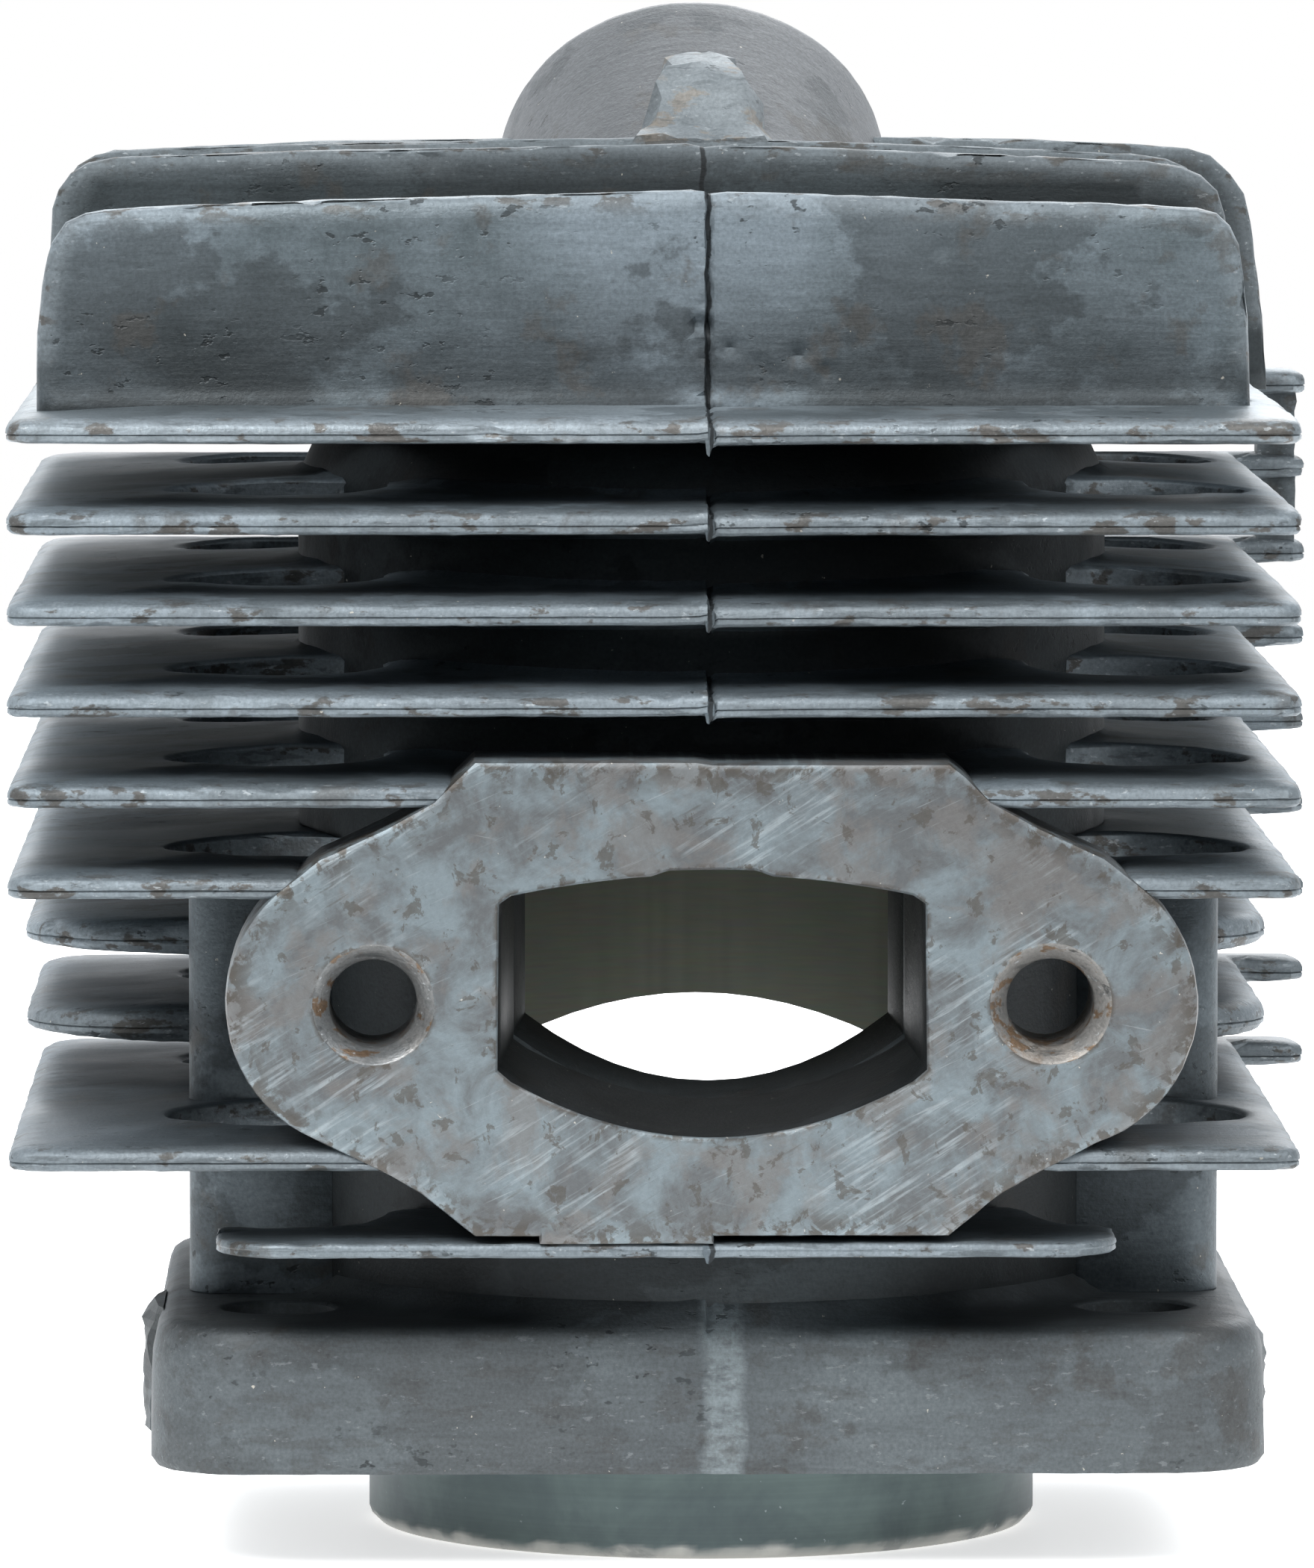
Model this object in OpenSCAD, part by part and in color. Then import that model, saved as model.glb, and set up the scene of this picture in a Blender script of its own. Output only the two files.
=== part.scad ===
// Air-cooled two-stroke cylinder with its head cast in one piece.
// Units are millimetres. +Z is up the bore, -Y is the exhaust side, +Y is the intake side.
// The origin is on the bore axis, in the plane of the base flange's seat.

/* [Barrel] */
// bore diameter
bore_d = 36; // [35:0.5:37]
// outside diameter of the barrel wall
barrel_d = 47; // [46.8:0.2:47.2]
// height where the bore ends and the combustion chamber starts
bore_top_z = 55; // [54:0.5:56]
// rise of the combustion chamber's roof above the end of the bore
chamber_h = 11.3; // [10.5:0.1:12]
// metal over the combustion chamber's roof
roof_t = 5.2; // [5:0.1:5.5]
// outside diameter of the spigot that enters the crankcase
spigot_d = 38.9; // [38.6:0.1:40]
// length of the spigot below the base flange
spigot_h = 5.7; // [4:0.1:8]
// chamfer on the spigot's end
spigot_chamfer = 0.6; // [0.2:0.1:0.7]

/* [Base flange] */
// width of the base flange
base_w = 63.6; // [62:0.2:66]
// depth of the base flange
base_d = 50.6; // [48:0.2:52]
// thickness of the base flange
base_t = 8.5; // [7:0.25:8.75]
// corner radius of the base flange
base_r = 6; // [3:0.5:7]
// bolt spacing from left to right
bolt_x = 49; // [48.6:0.1:49.4]
// bolt spacing from front to back
bolt_y = 32; // [31.8:0.1:32.2]
// clearance hole for the base bolts
bolt_d = 6.4; // [6:0.1:7]

/* [Cooling fins] */
// distance from fin to fin
fin_pitch = 5.11; // [5:0.01:5.15]
// height of the lowest fin's middle plane
fin_z0 = 13.46; // [13.4:0.01:13.6]
// thickness of a fin at its edge
fin_edge_t = 1.35; // [1.1:0.05:1.6]
// thickness of a fin at its root
fin_root_t = 2.8; // [2.2:0.1:3]
// reach of the fins to the left of the bore axis
fin_left = 39.5; // [38:0.1:41]
// reach of the fins to the right of the bore axis
fin_right = 33.1; // [32.5:0.1:34]
// reach of the fins towards the exhaust side
fin_front = 30.7; // [30:0.1:30.9]
// reach of the fins towards the intake side
fin_rear = 34; // [33.4:0.1:34.4]
// diameter of the wells that let a driver reach the base bolts
well_d = 12.5; // [11:0.25:12.5]
// reach of the wider ear at the right rear corner
ear_right = 37.2; // [36:0.1:38]

/* [Head fins] */
// thickness of the upright fins on the head
head_fin_t = 2; // [1.6:0.1:2.2]
// distance between the upright fins
head_fin_pitch = 15.5; // [15.3:0.1:15.6]
// front face of the first upright fin, ahead of the bore axis
head_fin_front = 22.5; // [22.3:0.1:22.8]

/* [Exhaust side] */
// distance from the bore axis to the exhaust face
exhaust_y = 31; // [31:0.1:32]
// thickness of the exhaust flange
exhaust_t = 8.6; // [8:0.1:8.7]
// spacing of the exhaust stud holes
exhaust_bolt_x = 38; // [37.6:0.1:38.4]
// height of the exhaust stud holes
exhaust_bolt_z = 27.3; // [27.2:0.1:27.4]
// tapping diameter of the exhaust stud holes
exhaust_hole_d = 5; // [4.8:0.1:5.2]
// width of the exhaust port at the face
exhaust_w = 24.5; // [23:0.5:25]

/* [Intake side] */
// distance from the bore axis to the intake face
intake_y = 34.6; // [34.4:0.1:35]
// spacing of the intake stud holes
intake_bolt_x = 35; // [34.6:0.1:35.4]
// height of the intake stud holes
intake_bolt_z = 16.2; // [16:0.1:16.4]
// tapping diameter of the intake stud holes
intake_hole_d = 4.2; // [4:0.1:4.4]
// width of the intake port
intake_w = 22; // [20:0.5:22]

/* [Spark plug] */
// outside diameter of the plug boss
plug_boss_d = 23.4; // [22.8:0.1:23.6]
// angle of the plug's axis above level
plug_angle = 30; // [29.5:0.5:30.5]
// diameter of the plug's threaded hole
plug_hole_d = 12.7; // [12.5:0.05:13]
// diameter of the plug's spot-faced seat
plug_seat_d = 20; // [19:0.5:20.5]
// depth of the spot face
plug_seat_h = 2.5; // [1.5:0.25:3]

/* [Hidden] */
$fn = 96;
bore_r = bore_d / 2;
barrel_r = barrel_d / 2;
chamber_r = (bore_r * bore_r + chamber_h * chamber_h) / (2 * chamber_h);
chamber_z = bore_top_z + chamber_h - chamber_r;
base_front = base_d / 2;
duct_half_w = 9.5;          // half depth of a transfer duct's outside
duct_reach = 29.8;          // outer wall of a transfer duct
duct_top = 32.3;
duct_wall = 1.8;
transfer_top = 27;          // roof of a transfer passage
transfer_sill = 19.5;       // sill of a transfer window
flange_half_w = 27.3;       // half width of the exhaust flange over its lobes
lobe_r = flange_half_w - exhaust_bolt_x / 2;
flange_top = 40.8;
flange_bottom = 14.2;
flange_flat = 13.3;         // half length of the exhaust flange's flat edges
intake_t = 5;
intake_half_w = 23.4;
intake_top = 24.9;
intake_low = 9;
intake_roof = 23.4;
intake_rise = 2.4;           // how far the intake port's roof is arched
intake_sill = 10;
plug_rim = [0, 30.5, 72.6]; // centre of the plug boss's outer rim
plug_boss_l = 34;
head_fin_z = fin_z0 + 9 * fin_pitch;
setback_y = -4.5;           // front edge of the two fins beside the exhaust duct
ear_y = 29.5;               // where the right rear ear starts

// ---------- shared outlines ----------

function arc(c, r, a0, a1, n = 8) =
    [for (i = [0 : n]) c + r * [cos(a0 + (a1 - a0) * i / n), sin(a0 + (a1 - a0) * i / n)]];

// a bowed edge from one end to the other, sag above the chord when positive
function bow(x0, x1, z, sag, n = 12) =
    [for (i = [0 : n]) let (u = i / n) [x0 + (x1 - x0) * u, z + 4 * sag * u * (1 - u)]];

// rectangle with its four corners rounded, from low corner a to high corner b
function round_box(a, b, r) = concat(
    arc([a[0] + r, a[1] + r], r, 180, 270), arc([b[0] - r, a[1] + r], r, 270, 360),
    arc([b[0] - r, b[1] - r], r, 0, 90), arc([a[0] + r, b[1] - r], r, 90, 180));

// raises an X-Z outline into a slab between two Y planes
module slab_y(y0, y1) translate([0, y1, 0]) rotate([90, 0, 0]) linear_extrude(y1 - y0) children();

// raises a Y-Z outline into a slab between two X planes
module slab_x(x0, x1) translate([x0, 0, 0]) rotate([90, 0, 90]) linear_extrude(x1 - x0) children();

// raises an X-Y outline into a slab between two heights
module slab_z(z0, z1) translate([0, 0, z0]) linear_extrude(z1 - z0) children();

// puts its children on the plug's axis, with +Z leaving the boss and 0 at the boss's rim
module on_plug_axis() translate(plug_rim) rotate([-(90 - plug_angle), 0, 0]) children();

// ---------- solids that several parts are cut against ----------

module barrel_body() cylinder(h = bore_top_z, r = barrel_r);

module dome_body() intersection() {
    translate([0, 0, bore_top_z]) cylinder(h = chamber_h + roof_t, r = barrel_r);
    translate([0, 0, chamber_z]) sphere(r = chamber_r + roof_t);
}

module chamber_space() translate([0, 0, chamber_z]) sphere(r = chamber_r);

module plug_body() intersection() {
    on_plug_axis() translate([0, 0, -plug_boss_l]) cylinder(h = plug_boss_l, d = plug_boss_d);
    translate([-plug_boss_d, -plug_boss_l, bore_top_z]) cube([2 * plug_boss_d, 3 * plug_boss_l, plug_boss_l]);
}

module transfer_body(side) difference() {
    slab_z(base_t, duct_top)
        polygon([for (p = round_box([12, -duct_half_w], [duct_reach, duct_half_w], 2.5)) [side * p[0], p[1]]]);
    barrel_body();
}

module transfer_space(side) difference() {
    translate([side > 0 ? bore_r : -(duct_reach - duct_wall), -7.5, -1])
        cube([duct_reach - duct_wall - bore_r, 15, transfer_top + 1]);
    translate([0, 0, -2]) cylinder(h = transfer_top + 4, r = barrel_r);
}

module transfer_window(side) translate([side > 0 ? 12 : -12 - barrel_r / 2, -7, transfer_sill])
    cube([barrel_r / 2, 14, transfer_top - transfer_sill]);

// half outline of the exhaust flange's right lobe, bottom to top
function lobe() = concat([[flange_flat, flange_bottom], [16.3, 16.6], [18.6, 17.9]],
    arc([exhaust_bolt_x / 2, exhaust_bolt_z], lobe_r, -66, 54, 24),
    [[22.0, 35.5], [18.3, 37.2], [15.6, 38.7], [14.2, 40.1], [flange_flat, flange_top]]);

module exhaust_outline() polygon(concat(lobe(),
    [for (i = [len(lobe()) - 1 : -1 : 0]) [-lobe()[i][0], lobe()[i][1]]]));

module exhaust_flange_body() slab_y(-exhaust_y, -exhaust_y + exhaust_t) exhaust_outline();

module exhaust_duct_body() difference() {
    slab_y(-exhaust_y + exhaust_t, -10) polygon(round_box([-15.5, flange_bottom], [15.5, 38.4], 2.5));
    barrel_body();
}

// the port widens, and its floor falls, from the bore to the face
module exhaust_space() hull() {
    slab_y(-exhaust_y - 1, -exhaust_y) polygon(concat(
        bow(-exhaust_w / 2, exhaust_w / 2, 23.5, -3.7), bow(exhaust_w / 2, -exhaust_w / 2, 33.2, 1.4)));
    slab_y(-14, -13) polygon(concat(bow(-10.2, 10.2, 25.5, -3), bow(10.2, -10.2, 33.2, 1)));
}

module intake_flange_body() slab_y(intake_y - intake_t, intake_y) polygon(concat(
    arc([intake_half_w - 5.5, intake_bolt_z], 5.5, -75, 75, 12), [[13, intake_top], [-13, intake_top]],
    arc([-(intake_half_w - 5.5), intake_bolt_z], 5.5, 105, 255, 12), [[-13, intake_low], [13, intake_low]]));

module intake_duct_body() difference() {
    slab_y(10, intake_y - intake_t) polygon(round_box([-13.5, base_t], [13.5, intake_top], 1.5));
    barrel_body();
}

module intake_space() slab_y(13, intake_y + 1)
    polygon(concat([[-intake_w / 2, intake_sill], [intake_w / 2, intake_sill]],
        bow(intake_w / 2, -intake_w / 2, intake_roof - intake_rise, intake_rise)));

module wells(z0, z1) for (x = [-bolt_x / 2, bolt_x / 2]) for (y = [-bolt_y / 2, bolt_y / 2])
    translate([x, y, z0]) cylinder(h = z1 - z0, d = well_d);

// ---------- cooling fins ----------

module full_plan() polygon(concat(
    arc([-fin_left + 1.5, -fin_front + 1.5], 1.5, 180, 270),
    arc([fin_right - 1.5, -fin_front + 1.5], 1.5, 270, 360),
    [[fin_right, ear_y]], arc([ear_right - 0.7, ear_y + 0.7], 0.7, 270, 360),
    arc([ear_right - 2, fin_rear - 2], 2, 0, 90), arc([-fin_left + 4, fin_rear - 4], 4, 90, 180)));

module setback_plan() polygon(concat(
    arc([-fin_left + 7, setback_y + 7], 7, 180, 270), [[-12, setback_y], [-12, -12], [12, -12], [12, setback_y]],
    arc([fin_right - 7, setback_y + 7], 7, 270, 360),
    [[fin_right, ear_y]], arc([ear_right - 0.7, ear_y + 0.7], 0.7, 270, 360),
    arc([ear_right - 2, fin_rear - 2], 2, 0, 90), arc([-fin_left + 4, fin_rear - 4], 4, 90, 180)));

module narrow_plan() union() {
    polygon(concat(round_box([-27.9, -fin_front], [22.9, -16.5], 4)));
    translate([-15.5, -18]) square([31, 8]);
}

// a fin is thin at its edges and thicker towards the barrel, so the die's slides can draw it
module fin_taper(z) translate([0, 0, z]) intersection() {
    slab_y(-fin_front - 1, fin_rear + 1) polygon([
        [-fin_left - 1, -fin_edge_t / 2], [-fin_left, -fin_edge_t / 2], [-24, -fin_root_t / 2],
        [24, -fin_root_t / 2], [ear_right, -fin_edge_t / 2], [ear_right + 1, -fin_edge_t / 2],
        [ear_right + 1, fin_edge_t / 2], [ear_right, fin_edge_t / 2], [24, fin_root_t / 2],
        [-24, fin_root_t / 2], [-fin_left, fin_edge_t / 2], [-fin_left - 1, fin_edge_t / 2]]);
    slab_x(-fin_left - 1, ear_right + 1) polygon([
        [-fin_front - 1, -fin_edge_t / 2], [-fin_front, -fin_edge_t / 2], [-17, -fin_root_t / 2],
        [19, -fin_root_t / 2], [fin_rear, -fin_edge_t / 2], [fin_rear + 1, -fin_edge_t / 2],
        [fin_rear + 1, fin_edge_t / 2], [fin_rear, fin_edge_t / 2], [19, fin_root_t / 2],
        [-17, fin_root_t / 2], [-fin_front, fin_edge_t / 2], [-fin_front - 1, fin_edge_t / 2]]);
}

// fin number n counts from 0 at the lowest; the children are what the fin is cut against
module fin(n, plan) {
    z = fin_z0 + n * fin_pitch;
    difference() {
        intersection() {
            fin_taper(z);
            slab_z(z - fin_root_t, z + fin_root_t) {
                if (plan == "full") full_plan();
                if (plan == "setback") setback_plan();
            }
        }
        barrel_body();
        wells(z - fin_root_t, z + fin_root_t);
        children();
    }
}

module fin_01() color("#7d868b") difference() {
    union() {
        slab_z(fin_z0 - 0.5, fin_z0 + 0.35) narrow_plan();
        // the part that runs up into the exhaust flange and duct
        slab_z(fin_z0 + 0.34, flange_bottom) translate([-9.7, -fin_front]) square([9.8, 18]);
    }
    barrel_body();
    wells(fin_z0 - 2, fin_z0 + 2);
}

module fin_02() color("#7d868b") fin(1, "full") {
    transfer_body(1); transfer_body(-1); exhaust_flange_body(); exhaust_duct_body();
    intake_flange_body(); intake_duct_body();
}

module fin_03() color("#7d868b") fin(2, "setback") {
    transfer_body(1); transfer_body(-1); exhaust_duct_body(); intake_flange_body(); intake_duct_body();
}

module fin_04() color("#7d868b") fin(3, "setback") {
    transfer_body(1); transfer_body(-1); exhaust_duct_body();
}

module fin_05() color("#7d868b") fin(4, "full") { exhaust_flange_body(); exhaust_duct_body(); }

module fin_06() color("#7d868b") fin(5, "full") { exhaust_flange_body(); exhaust_duct_body(); }

module fin_07() color("#7d868b") fin(6, "full");

module fin_08() color("#7d868b") fin(7, "full");

module fin_09() color("#7d868b") fin(8, "full") plug_body();

module fin_10() color("#7d868b") fin(9, "full") { dome_body(); plug_body(); }

// ---------- upright fins on the head ----------

// the first fin is lower than the rest, and each has a slight peak over the parting plane
function first_outline() = concat([[-38, head_fin_z], [-37.9, 64.6], [-37.5, 68.1], [-37.1, 69.6]],
    [[-36.3, 70.8], [-35.2, 71.3], [-33.1, 71.6], [-22.4, 72.0], [0, 72.6], [16.4, 72.0], [24.7, 71.8]],
    [[27.6, 71.6], [28.7, 71.3], [29.4, 70.6], [29.9, 69.5], [30.2, 67.7], [30.5, 64.4], [30.6, head_fin_z]]);

function next_outline() = concat([[-38, head_fin_z], [-37.8, 66], [-37.5, 71.1], [-37.2, 72.2]],
    [[-36.5, 73.1], [-35.5, 73.7], [-34, 74], [-22.5, 74.4], [0, 74.8], [17.1, 74.2], [25.5, 73.8]],
    [[27.6, 73.5], [28.7, 73], [29.6, 72.1], [30.1, 70.7], [30.4, 67.5], [30.6, head_fin_z]]);

function last_outline() = concat([[-37.4, head_fin_z], [-37.1, 69], [-36.8, 72], [-35.7, 73.3]],
    [[-34.8, 73.6], [-22.9, 74.1], [0, 74.5], [18.4, 74.3], [26, 74], [29.8, 73.7], [31.1, 73.3]],
    [[32.3, 72.2], [33.1, 71], [33.5, 69.3], [33.9, 66.2], [34.2, 63.7], [34.5, head_fin_z]]);

module head_fin(i) difference() {
    slab_y(-head_fin_front + i * head_fin_pitch, -head_fin_front + i * head_fin_pitch + head_fin_t) {
        if (i == 0) polygon(first_outline());
        if (i == 1 || i == 2) polygon(next_outline());
        if (i == 3) polygon(last_outline());
    }
    intersection() {
        fin_taper(head_fin_z);
        slab_z(head_fin_z - 3, head_fin_z + 3) full_plan();
    }
    dome_body();
    plug_body();
}

module head_fin_1() color("#828c92") head_fin(0);

module head_fin_2() color("#828c92") head_fin(1);

module head_fin_3() color("#828c92") head_fin(2);

// the plug boss divides the last fin in two
module head_fin_4_half(side) intersection() {
    head_fin(3);
    translate([side > 0 ? 0 : -50, 0, head_fin_z]) cube([50, 40, 30]);
}

module head_fin_4_left() color("#828c92") head_fin_4_half(-1);

module head_fin_4_right() color("#828c92") head_fin_4_half(1);

// ---------- body of the casting ----------

module barrel() color("#6f7679") difference() {
    barrel_body();
    translate([0, 0, -1]) cylinder(h = bore_top_z + 2, r = bore_r);
    exhaust_space();
    intake_space();
    transfer_window(1);
    transfer_window(-1);
}

module head_dome() color("#757d81") difference() {
    dome_body();
    chamber_space();
    plug_body();
}

module spigot() color("#8a9496") rotate_extrude() polygon([
    [bore_r, -spigot_h], [spigot_d / 2 - spigot_chamfer, -spigot_h],
    [spigot_d / 2, -spigot_h + spigot_chamfer], [spigot_d / 2, 0], [bore_r, 0]]);

module base_flange() color("#777f82") difference() {
    slab_z(0, base_t) polygon(round_box([-base_w / 2, -base_front], [base_w / 2, base_front], base_r));
    translate([0, 0, -1]) cylinder(h = base_t + 2, r = barrel_r);
    transfer_space(1);
    transfer_space(-1);
    for (x = [-bolt_x / 2, bolt_x / 2]) for (y = [-bolt_y / 2, bolt_y / 2])
        translate([x, y, -1]) cylinder(h = base_t + 2, d = bolt_d);
}

module transfer_duct_left() color("#757d81") difference() { transfer_body(-1); transfer_space(-1); }

module transfer_duct_right() color("#757d81") difference() { transfer_body(1); transfer_space(1); }

module exhaust_flange() color("#969ea2") difference() {
    exhaust_flange_body();
    exhaust_space();
    for (x = [-exhaust_bolt_x / 2, exhaust_bolt_x / 2]) translate([x, -exhaust_y - 1, exhaust_bolt_z])
        rotate([-90, 0, 0]) cylinder(h = exhaust_t + 2, d = exhaust_hole_d);
}

module exhaust_duct() color("#757d81") difference() { exhaust_duct_body(); exhaust_space(); }

module intake_flange() color("#969ea2") difference() {
    intake_flange_body();
    intake_space();
    for (x = [-intake_bolt_x / 2, intake_bolt_x / 2]) translate([x, intake_y - intake_t - 1, intake_bolt_z])
        rotate([-90, 0, 0]) cylinder(h = intake_t + 2, d = intake_hole_d);
}

module intake_duct() color("#757d81") difference() { intake_duct_body(); intake_space(); }

module plug_boss() color("#868e92") difference() {
    plug_body();
    chamber_space();
    on_plug_axis() translate([0, 0, -plug_seat_h]) cylinder(h = plug_seat_h + 1, d = plug_seat_d);
    on_plug_axis() translate([0, 0, -plug_boss_l - 1]) cylinder(h = plug_boss_l + 1, d = plug_hole_d);
}

// buttress from the third upright fin up to the plug boss
module plug_gusset() color("#9aa2a6") difference() {
    slab_x(-3.4, 4.1) polygon([[10.3, 68], [10.4, 75.6], [11.6, 78.2], [13.4, 79.1], [17.2, 79.6], [19.5, 79.3],
        [19.5, 70]]);
    plug_body();
    head_fin(2);
    dome_body();
}

// short upright web behind the right ends of the top fins
module rear_web() color("#5d6467") difference() {
    translate([34.3, ear_y + 0.4, fin_z0 + 7 * fin_pitch]) cube([2.7, 3, 2 * fin_pitch]);
    for (n = [7, 8, 9]) intersection() {
        fin_taper(fin_z0 + n * fin_pitch);
        slab_z(fin_z0 + n * fin_pitch - 3, fin_z0 + n * fin_pitch + 3) full_plan();
    }
}

barrel();
head_dome();
spigot();
base_flange();
transfer_duct_left();
transfer_duct_right();
exhaust_flange();
exhaust_duct();
intake_flange();
intake_duct();
plug_boss();
plug_gusset();
fin_01();
fin_02();
fin_03();
fin_04();
fin_05();
fin_06();
fin_07();
fin_08();
fin_09();
fin_10();
head_fin_1();
head_fin_2();
head_fin_3();
head_fin_4_left();
head_fin_4_right();
rear_web();
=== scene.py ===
import math

import bmesh
import bpy
import numpy as np
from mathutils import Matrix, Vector, noise
from mathutils.geometry import delaunay_2d_cdt
from mathutils.kdtree import KDTree


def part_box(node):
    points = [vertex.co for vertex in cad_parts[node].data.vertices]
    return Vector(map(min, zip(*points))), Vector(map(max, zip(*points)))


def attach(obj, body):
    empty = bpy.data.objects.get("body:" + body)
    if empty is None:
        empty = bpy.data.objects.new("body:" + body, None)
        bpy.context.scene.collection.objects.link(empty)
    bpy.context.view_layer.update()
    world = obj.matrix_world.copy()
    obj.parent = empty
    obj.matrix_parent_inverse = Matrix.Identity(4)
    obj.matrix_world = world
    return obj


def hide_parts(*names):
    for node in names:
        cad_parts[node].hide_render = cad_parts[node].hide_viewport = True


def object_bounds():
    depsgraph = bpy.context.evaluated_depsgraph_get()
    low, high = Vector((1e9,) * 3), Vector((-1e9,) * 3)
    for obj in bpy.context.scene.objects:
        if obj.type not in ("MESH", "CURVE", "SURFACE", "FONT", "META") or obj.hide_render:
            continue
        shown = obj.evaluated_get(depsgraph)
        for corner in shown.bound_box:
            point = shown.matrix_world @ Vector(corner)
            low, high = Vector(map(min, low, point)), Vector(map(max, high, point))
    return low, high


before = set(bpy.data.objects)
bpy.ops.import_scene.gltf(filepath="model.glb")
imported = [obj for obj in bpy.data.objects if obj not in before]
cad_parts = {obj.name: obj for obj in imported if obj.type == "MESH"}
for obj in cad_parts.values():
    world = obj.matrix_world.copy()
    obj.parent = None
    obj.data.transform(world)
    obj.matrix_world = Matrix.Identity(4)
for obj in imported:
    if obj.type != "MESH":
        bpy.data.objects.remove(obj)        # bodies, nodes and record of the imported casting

cad_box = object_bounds()
mm = 0.001

# ---------------------------------------------------------------- studio
# The casting stands on its spigot on a white table, in front of a white wall. The lens is long, level with
# the top of the head, and looks squarely at the exhaust face.

camera_data = bpy.data.cameras.new("camera")
camera_data.sensor_width = 36
camera_data.lens = 291.4
camera_data.clip_end = 20
camera = bpy.data.objects.new("camera", camera_data)
bpy.context.scene.collection.objects.link(camera)
camera.location = Vector((-14.8, -739, 94.3)) * mm
aim = Vector((-3.1, -31, 39.7)) * mm
camera.rotation_euler = (aim - camera.location).to_track_quat("-Z", "Y").to_euler()
bpy.context.scene.camera = camera


def linear(hex_colour):
    """A shader colour from an sRGB hex value."""
    parts = [int(hex_colour[i:i + 2], 16) / 255 for i in (0, 2, 4)]
    return tuple(c / 12.92 if c <= 0.04045 else ((c + 0.055) / 1.055) ** 2.4 for c in parts) + (1,)


def add_node(tree, kind, settings=(), links=()):
    """Adds a node: settings are (socket or property, value), links are (input, output socket)."""
    node = tree.nodes.new(kind)
    for name, value in settings:
        if isinstance(name, int) or name in node.inputs:
            node.inputs[name].default_value = value
        else:
            setattr(node, name, value)
    for name, socket in links:
        tree.links.new(socket, node.inputs[name])
    return node


# the table is matt white laminate, so its fleck is only just there
table_white = bpy.data.materials.new("white_laminate")
table_white.use_nodes = True
tree = table_white.node_tree
shader = tree.nodes["Principled BSDF"]
shader.inputs["Roughness"].default_value = 0.6
# it is lit through its own sheet, like a light table, so shadows on it stay faint
shader.inputs["Emission Color"].default_value = (1, 1, 1, 1)
shader.inputs["Emission Strength"].default_value = 0.62
fleck = add_node(tree, "ShaderNodeTexNoise", [("Scale", 400.0), ("Detail", 3.0)])
tint = add_node(tree, "ShaderNodeMix", [("data_type", "RGBA"), (6, linear("f6f6f5")), (7, linear("fbfbfb"))],
                [(0, fleck.outputs["Fac"])])
tree.links.new(tint.outputs[2], shader.inputs["Base Color"])

table_mesh = bpy.data.meshes.new("table")
table_z = cad_box[0].z
side_x, front_y, back_y = 0.5, -0.16, 0.8
table_mesh.from_pydata([(-side_x, front_y, table_z), (side_x, front_y, table_z), (side_x, back_y, table_z),
                        (-side_x, back_y, table_z)], [], [(0, 1, 2, 3)])
table_mesh.materials.append(table_white)
table = bpy.data.objects.new("table", table_mesh)
bpy.context.scene.collection.objects.link(table)

# the wall behind is plain white and bright, and the room in front gives less light below than above
studio = bpy.data.worlds.new("studio")
bpy.context.scene.world = studio
studio.use_nodes = True
tree = studio.node_tree
tree.nodes.clear()
direction = add_node(tree, "ShaderNodeTexCoord")
axes = add_node(tree, "ShaderNodeSeparateXYZ", [], [(0, direction.outputs["Generated"])])
height = add_node(tree, "ShaderNodeMapRange", [("From Min", 0.0), ("From Max", 0.9), ("To Min", 0.07),
                                               ("To Max", 1.15)], [("Value", axes.outputs["Z"])])
behind = add_node(tree, "ShaderNodeMapRange", [("From Min", 0.1), ("From Max", 0.9), ("To Min", 0.0),
                                               ("To Max", 1.9)], [("Value", axes.outputs["Y"])])
both = add_node(tree, "ShaderNodeMath", [("operation", "ADD")],
                [(0, height.outputs["Result"]), (1, behind.outputs["Result"])])
dome = add_node(tree, "ShaderNodeBackground", [("Color", linear("f2f6fa"))], [("Strength", both.outputs[0])])
wall = add_node(tree, "ShaderNodeBackground", [("Color", (1, 1, 1, 1)), ("Strength", 1.0)])
seen = add_node(tree, "ShaderNodeLightPath")
either = add_node(tree, "ShaderNodeMixShader", [], [(0, seen.outputs["Is Camera Ray"]),
                  (1, dome.outputs["Background"]), (2, wall.outputs["Background"])])
add_node(tree, "ShaderNodeOutputWorld", [], [("Surface", either.outputs["Shader"])])
bpy.context.scene.view_settings.view_transform = "Standard"


def softbox(name, place, target, size, watts):
    """A square diffused lamp, placed and aimed in metres."""
    lamp_data = bpy.data.lights.new(name, "AREA")
    lamp_data.size = size
    lamp_data.energy = watts
    lamp = bpy.data.objects.new(name, lamp_data)
    bpy.context.scene.collection.objects.link(lamp)
    lamp.location = place
    lamp.rotation_euler = (Vector(target) - lamp.location).to_track_quat("-Z", "Y").to_euler()
    return lamp


softbox("key_softbox", (-0.4, -0.7, 0.8), (0, 0, 0.05), 0.45, 13)
softbox("fill_softbox", (0.55, -0.6, 0.75), (0, 0, 0.05), 0.5, 5)
softbox("back_softbox", (0.1, 0.8, 0.6), (0, 0, 0.03), 0.6, 4)

# ---------------------------------------------------------------- cooling fins
# Ten thin plates of die-cast aluminium, all one with the barrel. The die's slides draw them from front and
# back, so they thin towards their edges and have a parting seam in front. Their rims are dressed with a file.

SEAM = -0.2              # where the two slides meet; to the right of it the metal sits a little lower
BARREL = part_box("barrel")[1].x / mm
MERGE = 0.4              # how far one region of the casting runs into the next


def set_back(x):
    """How far the front surface sits back at X by the parting seam: a proud lip, a groove, then a step."""
    marks = [SEAM - 2.2, SEAM - 0.6, SEAM - 0.06, SEAM + 0.06, SEAM + 0.24, SEAM + 0.5, SEAM + 6]
    return np.interp(x, marks, [0, -0.06, -0.2, 0.45, 0.42, 0.16, 0.08])


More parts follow.
